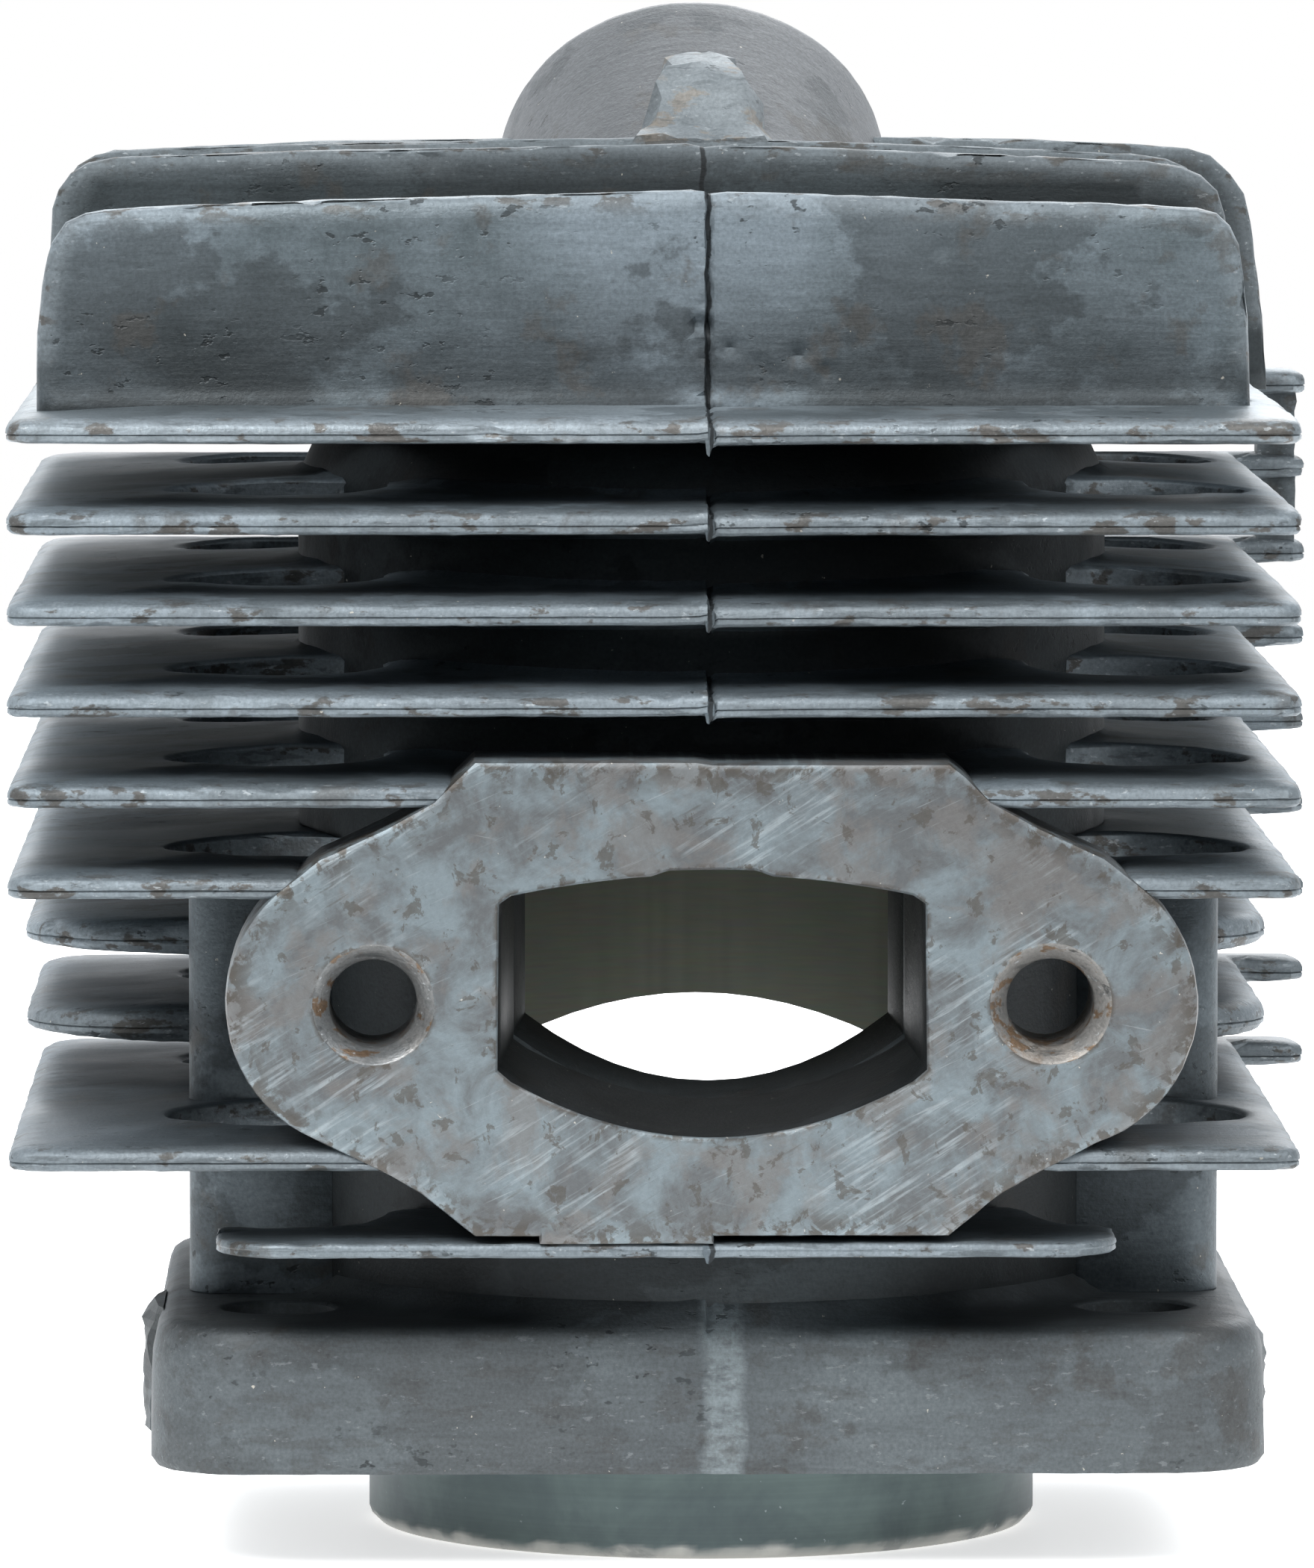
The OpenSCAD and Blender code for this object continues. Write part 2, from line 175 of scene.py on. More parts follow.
# the points of a plate are lined up along these to hold the groove
SEAM_COLUMNS = (SEAM - 0.6, SEAM - 0.06, SEAM + 0.06, SEAM + 0.24, SEAM + 0.5)


def arc(centre, radius, start, end, step=0.7):
    """Points of an arc in degrees, anticlockwise when end is more than start."""
    count = max(2, int(abs(math.radians(end - start)) * radius / step) + 1)
    angles = np.radians(np.linspace(start, end, count))
    return np.stack([centre[0] + radius * np.cos(angles), centre[1] + radius * np.sin(angles)], 1)


def outline(*parts, step=0.9):
    """Joins points and arcs into one closed loop, and divides its long straights."""
    corners = np.concatenate([np.atleast_2d(np.asarray(p, float)) for p in parts])
    apart = np.linalg.norm(corners - np.roll(corners, 1, 0), axis=1) > 0.02
    corners = corners[apart]
    loop = []
    for here, there in zip(corners, np.roll(corners, -1, 0)):
        count = max(1, int(round(np.linalg.norm(there - here) / step)))
        loop += [here + (there - here) * i / count for i in range(count)]
    return np.array(loop)


def shift(loop, inwards):
    """Moves an anticlockwise loop along its own normals."""
    along = np.roll(loop, -1, 0) - np.roll(loop, 1, 0)
    along /= np.maximum(np.linalg.norm(along, axis=1), 1e-9)[:, None]
    return loop + inwards * np.stack([-along[:, 1], along[:, 0]], 1)


def distance(points, loops):
    """Each point's distance to the nearest of several closed loops, to about a tenth of a millimetre."""
    marks = np.concatenate([loop + (np.roll(loop, -1, 0) - loop) * i / 8 for loop in loops for i in range(8)])
    tree = KDTree(len(marks))
    for i, (x, y) in enumerate(marks):
        tree.insert((x, y, 0), i)
    tree.balance()
    return np.array([tree.find((x, y, 0))[2] for x, y in points])


def inside(points, loop):
    """True for each point inside a closed loop."""
    result = np.zeros(len(points), bool)
    for a, b in zip(loop, np.roll(loop, -1, 0)):
        if a[1] == b[1]:
            continue
        crosses = (a[1] > points[:, 1]) != (b[1] > points[:, 1])
        result ^= crosses & (points[:, 0] < (b[0] - a[0]) * (points[:, 1] - a[1]) / (b[1] - a[1]) + a[0])
    return result


def sheet_points(loops, insets, step, columns):
    """Points and triangles of a flat sheet bounded by loops[0] and pierced by the others."""
    points = [np.concatenate(loops)]
    for inset in insets:
        for k, loop in enumerate(loops):
            ring = shift(loop, inset if k == 0 else -inset)
            points.append(ring[distance(ring, loops) > 0.85 * inset])
    low, high = loops[0].min(0), loops[0].max(0)
    grid = np.stack(np.meshgrid(np.arange(low[0], high[0], step), np.arange(low[1], high[1], step)), -1)
    grid[1::2, :, 0] += step / 2
    grid = grid.reshape(-1, 2)
    grid = grid[distance(grid, loops) > insets[-1] + 0.4 * step]
    for column in columns:
        grid = grid[abs(grid[:, 0] - column) > 0.3]
    for column in columns:
        run = np.arange(low[1], high[1], 0.3)
        line = np.stack([column + 0.03 * np.sin(run * 2.3) + 0.02 * np.sin(run * 5.9), run], 1)
        grid = np.concatenate([grid, line[distance(line, loops) > 0.12]])
    free = np.concatenate(points[1:] + [grid])
    within = inside(free, loops[0])
    for loop in loops[1:]:
        within &= ~inside(free, loop)
    points = np.concatenate([points[0], free[within]])
    edges, start = [], 0
    for loop in loops:
        edges += [(start + i, start + (i + 1) % len(loop)) for i in range(len(loop))]
        start += len(loop)
    found = delaunay_2d_cdt([Vector(p) for p in points], edges, [], 0, 1e-5)
    flat = np.array([tuple(p) for p in found[0]])
    source = np.array([o[0] if o else -1 for o in found[3]])
    triangles = np.array(found[2])
    middle = flat[triangles].mean(1)
    keep = inside(middle, loops[0])
    for loop in loops[1:]:
        keep &= ~inside(middle, loop)
    return flat, source, triangles[keep]


def face_outwards(mesh):
    """Turns every face of a closed mesh to look outwards."""
    shape = bmesh.new()
    shape.from_mesh(mesh)
    bmesh.ops.recalc_face_normals(shape, faces=shape.faces)
    shape.to_mesh(mesh)
    shape.free()


def cast_plate(name, walls, upper, lower, place, insets=(0.12, 0.35, 0.75), step=1.3, columns=(),
               grain=1.0, wear=lambda p: 1.0):
    """A cast plate. walls[0] is its rim and the others its holes, each a stack of rings (N x 3) from the
    upper face to the lower one. upper and lower give the height of each face, place turns plate to row axes,
    insets and step space the points, grain scales its unevenness, and wear says where it is rubbed."""
    verts, faces, rims = [], [], []
    count = 0
    index = []
    for stack in walls:
        rows = []
        for ring in stack:
            rows.append(np.arange(count, count + len(ring)))
            verts.append(np.asarray(ring, float))
            rims.append(np.ones(len(ring)))
            count += len(ring)
        index.append(rows)
        for above, below in zip(rows, rows[1:]):
            for i in range(len(above)):
                j = (i + 1) % len(above)
                faces.append((above[i], above[j], below[j], below[i]))
    for level, height_at in ((0, upper), (-1, lower)):
        loops = [stack[level][:, :2] for stack in walls]
        edge_ids = np.concatenate([rows[level] for rows in index])
        flat, source, triangles = sheet_points(loops, insets, step, columns)
        on_edge = (source >= 0) & (source < len(edge_ids))
        ids = np.zeros(len(flat), int)
        ids[on_edge] = edge_ids[source[on_edge]]
        free = flat[~on_edge]
        ids[~on_edge] = np.arange(count, count + len(free))
        from_rim = distance(free, loops[:1])
        heights = height_at(free, from_rim, distance(free, loops[1:]) if len(loops) > 1 else from_rim)
        verts.append(np.column_stack([free, heights]))
        rims.append(np.clip(1 - from_rim / 1.4, 0, 1))
        count += len(free)
        faces += [tuple(ids[t]) for t in triangles]
    verts = np.concatenate(verts)
    rims = np.concatenate(rims) * wear(verts)
    mesh = bpy.data.meshes.new(name)
    mesh.from_pydata([tuple(p * mm) for p in place(verts)], [], [tuple(int(i) for i in f) for f in faces])
    face_outwards(mesh)
    weather(mesh, grain, rims)
    mesh.attributes.new("rim", "FLOAT", "POINT").data.foreach_set("value", rims.astype(np.float32))
    return finished(name, mesh)


def weather(mesh, grain, rims):
    """Moves the surface by a few hundredths of a millimetre, as a worn die leaves it, and nicks the rims."""
    normals = [Vector(normal.vector) for normal in mesh.vertex_normals]
    moved = []
    for vertex, normal, rim in zip(mesh.vertices, normals, rims):
        p = vertex.co / mm
        depth = 0.035 * noise.noise(p * 0.23) + 0.03 * noise.noise(p * 0.8) + 0.018 * noise.noise(p * 2.1)
        if rim > 0.6:
            depth += 0.05 * noise.noise(p * 1.3 + Vector((9, 2, 5)))
            depth -= 0.9 * max(0.0, noise.noise(p * 0.75 + Vector((3, 7, 1))) - 0.42)
        moved.extend(vertex.co + normal * (depth * grain * mm))
    mesh.vertices.foreach_set("co", moved)


def finished(name, mesh):
    """Links a mesh as a smooth-shaded piece, with creases where faces meet sharply."""
    mesh.polygons.foreach_set("use_smooth", [True] * len(mesh.polygons))
    mesh.set_sharp_from_angle(angle=math.radians(42))
    piece = bpy.data.objects.new(name, mesh)
    bpy.context.scene.collection.objects.link(piece)
    return piece


def new_finish(name):
    """A new material, with its node tree, its shader and the piece's own coordinates."""
    material = bpy.data.materials.new(name)
    material.use_nodes = True
    tree = material.node_tree
    place = add_node(tree, "ShaderNodeTexCoord").outputs["Object"]
    return material, tree, tree.nodes["Principled BSDF"], place


def patches(place, size_mm, detail, low, high, offset, stretch=(1, 1, 1), roughness=0.62, warp=0.0):
    """A mask of patches of about size_mm, from 0 where the pattern is at low to 1 where it is at high."""
    tree = place.id_data
    moved = add_node(tree, "ShaderNodeMapping", [("Location", offset), ("Scale", stretch)],
                     [("Vector", place)])
    cloud = add_node(tree, "ShaderNodeTexNoise", [("Scale", 1 / (size_mm * mm)), ("Detail", detail),
                     ("Roughness", roughness), ("Distortion", warp)], [("Vector", moved.outputs[0])])
    ramp = add_node(tree, "ShaderNodeMapRange", [("From Min", low), ("From Max", high)],
                    [("Value", cloud.outputs["Fac"])])
    return ramp.outputs["Result"]


def layer(below, colour, amount, *masks, blend="MIX"):
    """Lays a colour over what is below it, as thickly as the amount and all the masks together say."""
    tree = below.id_data
    cover = masks[0]
    for mask in masks[1:]:
        cover = add_node(tree, "ShaderNodeMath", [("operation", "MULTIPLY")],
                         [(0, cover), (1, mask)]).outputs[0]
    cover = add_node(tree, "ShaderNodeMath", [("operation", "MULTIPLY"), (1, amount)],
                     [(0, cover)]).outputs[0]
    laid = add_node(tree, "ShaderNodeMix", [("data_type", "RGBA"), ("blend_type", blend),
                    (7, linear(colour))], [(0, cover), (6, below)])
    return laid.outputs[2]


def die_cast_skin(name, light, dark, blot, brown, foot=None, witness=None, seam=None, roughness=0.5):
    """Die-cast aluminium with its blue-grey skin: clouded by the die's release agent, blotched where that
    burnt on, browned on its high spots, dotted with gas pits, and rubbed lighter at its rims. foot is the
    height that a dark band rises from, which is burnt release agent and painted shade where a plate meets
    the deck, witness the span in X of a pale streak left by the seam, and seam the Y up to which the seam
    carries a dark line of painted shadow from its lip, all in mm."""
    material, tree, shader, place = new_finish(name)
    axes = add_node(tree, "ShaderNodeSeparateXYZ", [], [(0, place)])
    rubbed = add_node(tree, "ShaderNodeAttribute", [("attribute_name", "rim")]).outputs["Fac"]

    cloud = patches(place, 19, 7, 0.38, 0.62, (0.3, 0.1, 0.7))
    base = add_node(tree, "ShaderNodeMix", [("data_type", "RGBA"), (6, linear(dark)), (7, linear(light))],
                    [(0, cloud)]).outputs[2]
    base = layer(base, blot, 0.52, patches(place, 12, 10, 0.505, 0.53, (0.9, 0.4, 0.25), (0.8, 1, 1)))
    # the dark band at a plate's foot is burnt release agent and painted shade, where the plate meets the deck
    if foot is not None:
        band = add_node(tree, "ShaderNodeMapRange", [("From Min", (foot + 9) * mm), ("From Max", foot * mm)],
                        [("Value", axes.outputs["Z"])]).outputs["Result"]
        base = layer(base, blot, 0.85, band, patches(place, 8, 8, 0.36, 0.5, (0.2, 0.4, 0.8), (0.6, 1, 1)))
    base = layer(base, "9da7ad", 0.4, rubbed)
    if witness is not None:
        middle, width = (witness[0] + witness[1]) / 2, witness[1] - witness[0]
        aside = add_node(tree, "ShaderNodeMath", [("operation", "SUBTRACT"), (1, middle * mm)],
                         [(0, axes.outputs["X"])])
        aside = add_node(tree, "ShaderNodeMath", [("operation", "ABSOLUTE")], [(0, aside.outputs[0])])
        ragged = patches(place, 2.5, 5, 0.2, 0.8, (0.6, 0.1, 0.3), (1, 1, 0.5))
        aside = add_node(tree, "ShaderNodeMath", [("operation", "MULTIPLY_ADD"), (1, 1.1 * mm)],
                         [(0, ragged), (2, aside.outputs[0])])
        streak = add_node(tree, "ShaderNodeMapRange", [("From Min", width * 0.8 * mm),
                          ("From Max", width * 0.5 * mm)], [("Value", aside.outputs[0])])
        base = layer(base, "828c90", 0.8, streak.outputs["Result"],
                     patches(place, 2, 6, 0.3, 0.5, (0.3, 0.9, 0.2), (1, 1, 3)))
    base = layer(base, brown, 0.45, patches(place, 4.5, 9, 0.58, 0.64, (0.1, 0.8, 0.5)))
    base = layer(base, brown, 0.85, rubbed, patches(place, 1.3, 8, 0.56, 0.6, (0.4, 0.1, 0.9), (0.5, 1, 1)))
    # specks of bare metal, then bright nicks and dark scores along the rims
    base = layer(base, "cfcabd", 0.7, patches(place, 0.45, 2, 0.75, 0.78, (0.5, 0.2, 0.9)))
    nicks = patches(place, 0.35, 4, 0.63, 0.68, (0.3, 0.5, 0.6), (0.4, 1, 1))
    base = layer(base, "c0c7ca", 0.5, rubbed, nicks)
    scores = patches(place, 0.7, 4, 0.58, 0.64, (0.8, 0.2, 0.1), (0.15, 1, 1))
    base = layer(base, "3a4043", 0.45, rubbed, scores)
    # gas pits come in groups
    pits = add_node(tree, "ShaderNodeMath", [("operation", "MULTIPLY")],
                    [(0, patches(place, 0.8, 3, 0.62, 0.66, (0.2, 0.6, 0.4), (0.6, 1, 1))),
                     (1, patches(place, 14, 3, 0.5, 0.6, (0.45, 0.1, 0.4)))]).outputs[0]
    base = layer(base, "23282a", 0.75, pits)
    # the dark line along the seam is painted shadow, cast by the seam's proud lip
    if seam is not None:
        wander = add_node(tree, "ShaderNodeTexNoise", [("Scale", 1 / (1.6 * mm)), ("Detail", 5.0)],
                          [("Vector", place)])
        wander = add_node(tree, "ShaderNodeMapRange", [("To Min", (SEAM - 0.25) * mm),
                          ("To Max", (SEAM + 0.5) * mm)], [("Value", wander.outputs["Fac"])])
        off = add_node(tree, "ShaderNodeMath", [("operation", "SUBTRACT")],
                       [(0, axes.outputs["X"]), (1, wander.outputs["Result"])])
        off = add_node(tree, "ShaderNodeMath", [("operation", "ABSOLUTE")], [(0, off.outputs[0])])
        line = add_node(tree, "ShaderNodeMapRange", [("From Min", 0.17 * mm), ("From Max", 0.1 * mm)],
                        [("Value", off.outputs[0])]).outputs["Result"]
        ahead = add_node(tree, "ShaderNodeMath", [("operation", "LESS_THAN"), (1, seam * mm)],
                         [(0, axes.outputs["Y"])]).outputs[0]
        base = layer(base, "15181a", 0.85, line, ahead)
    # the die's own surface: a fine grain, and faint marks where the slides drew over it
    fine = patches(place, 0.22, 5, 0.25, 0.75, (0.7, 0.7, 0.1))
    base = layer(base, "9c9c9c", 0.6, fine, blend="MULTIPLY")
    drawn = patches(place, 0.5, 4, 0.3, 0.7, (0.1, 0.3, 0.2), (0.12, 1, 1))
    base = layer(base, "b0b0b0", 0.35, drawn, blend="MULTIPLY")
    tree.links.new(base, shader.inputs["Base Color"])
    shader.inputs["Metallic"].default_value = 0.5
    sheen = add_node(tree, "ShaderNodeMapRange", [("To Min", roughness - 0.06), ("To Max", roughness + 0.12)],
                     [("Value", cloud)])
    tree.links.new(sheen.outputs["Result"], shader.inputs["Roughness"])
    pitted = add_node(tree, "ShaderNodeMath", [("operation", "MULTIPLY_ADD"), (1, -3.0)],
                      [(0, pits), (2, fine)])
    relief = add_node(tree, "ShaderNodeMath", [("operation", "ADD")], [(0, pitted.outputs[0]), (1, drawn)])
    bump = add_node(tree, "ShaderNodeBump", [("Strength", 0.5), ("Distance", 0.03 * mm)],
                    [("Height", relief.outputs[0])])
    tree.links.new(bump.outputs["Normal"], shader.inputs["Normal"])
    return material


fin_skin = die_cast_skin("die_cast_fin_skin", "76828a", "4d575d", "383f42", "4f4b46", seam=-20)
# the lowest full fins take a darker copy of the fin finish
low_skin = die_cast_skin("die_cast_low_fin_skin", "626c73", "41494e", "33393c", "4b4843")
# the deck has no fin above it, so it takes a lighter copy of the fin finish as painted light, which makes
# its rubbed rim the brightest
deck_painted_light_skin = die_cast_skin("die_cast_deck_painted_light_skin", "909ba2", "6d777d", "50595d", "5b5650", seam=-20,
                          roughness=0.42)
# the wells through which the base screws are reached
wells = [(sx * 24.5, sy * 16.0) for sx in (-1, 1) for sy in (-1, 1)]
WELL = 6.25


def keep_piece(piece, material, slot, *nodes):
    """Gives a piece its finish, hides the regions of the casting it stands for, and fixes it to the body."""
    piece.data.materials.append(material)
    if nodes:
        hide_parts(*nodes)
    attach(piece, "root")


def flange_reach(z):
    """Half width of the exhaust flange at a height, from its lobes and its straight flanks."""
    heights = [14.2, 16.6, 18, 20, 23, 27.3, 31, 34, 35.5, 37.2, 38.7, 40.8]
    half = [13.3, 16.3, 18.6, 22.7, 26.1, 27.3, 26.5, 23.9, 22, 18.3, 15.6, 13.3]
    return float(np.interp(z, heights, half))


def at_height(loop, z):
    """One ring of a plate's wall: a loop at one height."""
    return np.column_stack([loop, np.full(len(loop), z)])


def rings(loop, levels):
    """The rings of a rim: levels are (height, how far inside the outline)."""
    return [at_height(shift(loop, inset), z) for z, inset in levels]


# upper edge rounded, a cold-lap crease two thirds of the way down, and a dressed lower band
RIM = [(0.12, 0.0), (-0.16, -0.03), (-0.22, 0.09), (-0.29, 0.0), (-0.5, 0.02), (-0.62, 0.16)]
fin_box = {n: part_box(n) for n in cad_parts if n.startswith("fin_")}
left, right = fin_box["fin_07"][0].x / mm, fin_box["fin_07"][1].x / mm
front, rear = fin_box["fin_07"][0].y / mm, fin_box["fin_07"][1].y / mm
fin_pitch = 5.11
edge_half, root_half = 0.675, 1.4    # half thickness of a fin at its edge and at its root
shoulder = 33.1          # right side ahead of the rear ear
ear = 29.5               # where the ear starts
setback = -4.5           # front edge of the two fins beside the exhaust duct
# how far out and along a fin is open for the transfer passages, which its own metal overlaps a little
out_left = -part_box("transfer_duct_left")[0].x / mm - 1.2
out_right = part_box("transfer_duct_right")[1].x / mm - 1.2
along = 7.9
intake_side = 12.6       # half width of the intake duct, less the merge
intake_flange_side = 22.7
intake_flange_front = 30.0
duct_side = 15.1         # half width of the exhaust duct, less the merge
flange_back = -23.2


def fin_outlines(number, z):
    """The outlines of a fin, anticlockwise from above. The two lowest full fins are in two halves."""
    core = BARREL - MERGE
    front_left = arc((left + 1.5, front + 1.5), 1.5, 180, 270)
    front_right = arc((shoulder - 1.5, front + 1.5), 1.5, 270, 360)
    set_left = arc((left + 7, setback + 7), 7, 180, 270)
    set_right = arc((shoulder - 7, setback + 7), 7, 270, 360)
    side = [[[shoulder, ear]], arc((right - 0.7, ear + 0.7), 0.7, 270, 360),
            arc((right - 2, rear - 2), 2, 0, 90)]
    rear_left = arc((left + 4, rear - 4), 4, 90, 180)
    half = flange_reach(z) - 1.2
    duct_angle = math.degrees(math.acos(duct_side / core))
    set_angle = math.degrees(math.asin(-setback / core))
    tip = math.degrees(math.asin(along / core))
    port = math.degrees(math.acos(intake_side / core))
    notch_left = [[-half, front], [-half, flange_back], [-duct_side, flange_back]]
    notch_right = [[duct_side, flange_back], [half, flange_back], [half, front]]
    if number >= 7:
        seam_marks = [[x, front] for x in SEAM_COLUMNS]
        return [outline(front_left, seam_marks, front_right, *side, rear_left)]
    if number == 6:
        return [outline(front_left, notch_left[:2], notch_right[1:], front_right, *side, rear_left)]
    if number == 5:
        return [outline(front_left, notch_left, arc((0, 0), core, 180 + duct_angle, -duct_angle, 1.2),
                        notch_right, front_right, *side, rear_left)]
    if number == 4:
        return [outline(set_left, arc((0, 0), core, 180 + set_angle, -set_angle, 1.2), set_right, *side,
                        rear_left)]
    far_left = [arc((0, 0), core, 180 - tip, 180 - port, 1.2),
                [[-intake_side, intake_flange_front], [-intake_flange_side, intake_flange_front],
                 [-intake_flange_side, rear]], rear_left]
    near_right = [arc((0, 0), core, port, tip, 1.2)]
    far_right = side + [[[intake_flange_side, rear], [intake_flange_side, intake_flange_front],
                         [intake_side, intake_flange_front]]]
    if number == 3:
        return [outline(set_left, [[-out_left, setback], [-out_left, along]], *far_left),
                outline(*near_right, [[out_right, along], [out_right, setback]], set_right, *far_right)]
    return [outline(front_left, notch_left, arc((0, 0), core, 180 + duct_angle, 180 + tip, 1.2),
                    [[-out_left, -along], [-out_left, along]], *far_left),
            outline(*near_right, [[out_right, along], [out_right, -along]],
                    arc((0, 0), core, -tip, -duct_angle, 1.2), notch_right, front_right, *far_right)]


def fin_half(points):
    """Half thickness of a fin, least at its edges."""
    taper = [edge_half, root_half, root_half, edge_half]
    from_sides = np.interp(points[:, 0], [left, -24, 24, right], taper)
    from_ends = np.interp(points[:, 1], [front, -17, 19, rear], taper)
    return np.minimum(from_sides, from_ends)


def fin_face(points, from_rim, side, core):
    """Height of a fin's upper or lower face: rounded at its rim, and flared into the barrel."""
    edge, radius = (RIM[0][0], 1.3) if side > 0 else (-RIM[-1][0], 0.6)
    curve = np.sqrt(1 - (1 - np.minimum(from_rim / radius, 1)) ** 2)
    height = edge + (fin_half(points) - edge) * curve
    to_barrel = np.linalg.norm(points, axis=1) - core
    to_well = np.min([np.hypot(points[:, 0] - x, points[:, 1] - y) for x, y in wells], 0) - WELL
    height += 0.3 * np.clip(1 - to_barrel / 0.9, 0, 1.2) ** 2 * np.clip(to_well / 2.5, 0, 1)
    height -= 0.25 * np.clip(1 - to_well / 0.4, 0, 1) ** 2
    return side * height


def fin_place(p, z):
    """Lifts a fin to its height, and steps its front edge at the seam."""
    step = set_back(p[:, 0])
    return np.column_stack([p[:, 0], p[:, 1] + 0.8 * step * (p[:, 1] < front + 2),
                            p[:, 2] + z - 0.7 * step * np.clip(-p[:, 1] - 18, 0, 1)])


def add_flash(mesh, z, drop):
    """Adds the torn sliver that hangs from a rim where the two slides met."""
    blade = [(-0.32, 0.2), (0.3, 0.15), (0.34, -0.5), (0.16, -0.62 - 0.5 * drop), (0.02, -0.6 - drop),
             (-0.12, -0.62 - 0.8 * drop), (-0.2, -0.55), (-0.36, -0.3)]
    shape = bmesh.new()
    shape.from_mesh(mesh)
    near = [shape.verts.new(Vector((SEAM + x, front - 0.02, z + h)) * mm) for x, h in blade]
    far = [shape.verts.new(Vector((SEAM + 0.8 * x, front + 0.7, z + 0.9 * h)) * mm) for x, h in blade]
    shape.faces.new(near)
    shape.faces.new(far[::-1])
    for i in range(len(blade)):
        j = (i + 1) % len(blade)
        shape.faces.new((near[j], near[i], far[i], far[j]))
    shape.to_mesh(mesh)
    shape.free()


for number in range(2, 11):
    name = f"fin_{number:02d}"
    z = fin_box["fin_07"][0].z / mm + root_half + (number - 7) * fin_pitch
    # the highest fin meets the head's dome, which is already drawing in
    core = BARREL if number < 10 else 21.3
    parts = []
    for loop in fin_outlines(number, z):
        walls = [rings(loop, RIM)]
        holes = []
        if number >= 6:
            holes.append(outline(arc((0, 0), core - MERGE, 0, 357, 1.2)))
        for x, y in wells:
            if inside(np.array([[x, y]]), loop)[0]:
                holes.append(outline(arc((x, y), WELL, 0, 350, 1.0)))
        for hole in holes:
            top = fin_face(hole, np.full(len(hole), 9.0), 1, core)
            walls.append([np.column_stack([hole, top * t]) for t in (1, 0, -1)])
        parts.append(cast_plate(name + "_casting", walls, lambda p, rim, hole: fin_face(p, rim, 1, core),
                                lambda p, rim, hole: fin_face(p, rim, -1, core),
                                lambda p: fin_place(p, z), columns=SEAM_COLUMNS if number >= 7 else ()))
    if len(parts) == 2:
        joined = bmesh.new()
        for part in parts:
            joined.from_mesh(part.data)
        joined.to_mesh(parts[0].data)
        joined.free()
        bpy.data.objects.remove(parts[1])
    if number >= 7:
        add_flash(parts[0].data, z, 0.5 + 0.35 * (number == 10))
    skin = deck_painted_light_skin if number == 10 else low_skin if number < 4 else fin_skin
    keep_piece(parts[0], skin, "cast_aluminium", name)

# The lowest fin is a narrow, thin tongue that hangs under the exhaust flange by a short pad.
thin = [(0.22, 0.0), (0.05, -0.03), (-0.05, 0.05), (-0.3, 0.0), (-0.4, 0.14)]
tongue = outline(arc((-23.9, -26.7), 4, 180, 270), arc((18.9, -26.7), 4, 270, 360), [[22.9, -22.04]],
                 arc((24.5, -16), WELL, -104.8, -175.4), [[16.2, -16.5]],
                 arc((0, 0), BARREL - MERGE, -45.5, -134.5, 1.2), [[-16.2, -16.5]],
                 arc((-24.5, -16), WELL, -4.6, -123))
thin_half = 0.43         # half thickness of the tongue
tongue_z = fin_box["fin_01"][0].z / mm + thin_half


def tongue_face(points, from_rim, side):
    """Height of the tongue's upper or lower face, which is a little thicker near the barrel."""
    edge = thin[0][0] if side > 0 else -thin[-1][0]
    curve = np.sqrt(1 - (1 - np.minimum(from_rim / 0.4, 1)) ** 2)
    thicker = 0.5 * np.clip(1 - (np.linalg.norm(points, axis=1) - BARREL) / 5, 0, 1)
    return side * (edge + (thin_half - edge) * curve + thicker)


piece = cast_plate("fin_01_casting", [rings(tongue, thin)], lambda p, rim, hole: tongue_face(p, rim, 1),
                   lambda p, rim, hole: tongue_face(p, rim, -1),
                   lambda p: np.column_stack([p[:, 0], p[:, 1], p[:, 2] + tongue_z]), insets=(0.12, 0.35),
                   step=1.0)
add_flash(piece.data, tongue_z + 0.1, 0.25)
keep_piece(piece, fin_skin, "cast_aluminium", "fin_01")

# ---------------------------------------------------------------- barrel, dome and ducts
# The walls behind the fins: the barrel with its ports, the dome of the combustion chamber, the two transfer
# ducts and the two port ducts. They are as cast outside, and the barrel is plated and honed inside.

body_skin = die_cast_skin("die_cast_body_skin", "727c82", "4a5358", "31373a", "4c4842", roughness=0.55)
# the barrel and the dome are painted darker than the ducts, as painted shade, since they lie deep between the
# fins
barrel_painted_shade_skin = die_cast_skin("die_cast_barrel_painted_shade_skin", "3d4447", "23282a", "191d1f", "2e2b28", roughness=0.6)
honed_bore, tree, shader, place = new_finish("honed_plated_bore")
# hone marks run nearly level; real ones are 0.02 mm apart, and these are ten times coarser to show
marks = add_node(tree, "ShaderNodeMapping", [("Scale", (1, 1, 12))], [("Vector", place)])
scuff = add_node(tree, "ShaderNodeTexNoise", [("Scale", 1 / (2.5 * mm)), ("Detail", 6.0)],
                 [("Vector", marks.outputs[0])])
haze = add_node(tree, "ShaderNodeTexNoise", [("Scale", 1 / (9 * mm)), ("Detail", 4.0)], [("Vector", place)])
tint = add_node(tree, "ShaderNodeMix", [("data_type", "RGBA"), (6, linear("a3a79d")), (7, linear("c9ccc0"))],
                [(0, haze.outputs["Fac"])])
streak = add_node(tree, "ShaderNodeMix", [("data_type", "RGBA"), ("blend_type", "MULTIPLY"), (0, 0.35)],
                  [(6, tint.outputs[2]), (7, scuff.outputs["Color"])])
tree.links.new(streak.outputs[2], shader.inputs["Base Color"])
shader.inputs["Metallic"].default_value = 0.2
shader.inputs["Roughness"].default_value = 0.42
bump = add_node(tree, "ShaderNodeBump", [("Strength", 0.25), ("Distance", 0.02 * mm)],
                [("Height", scuff.outputs["Fac"])])
tree.links.new(bump.outputs["Normal"], shader.inputs["Normal"])

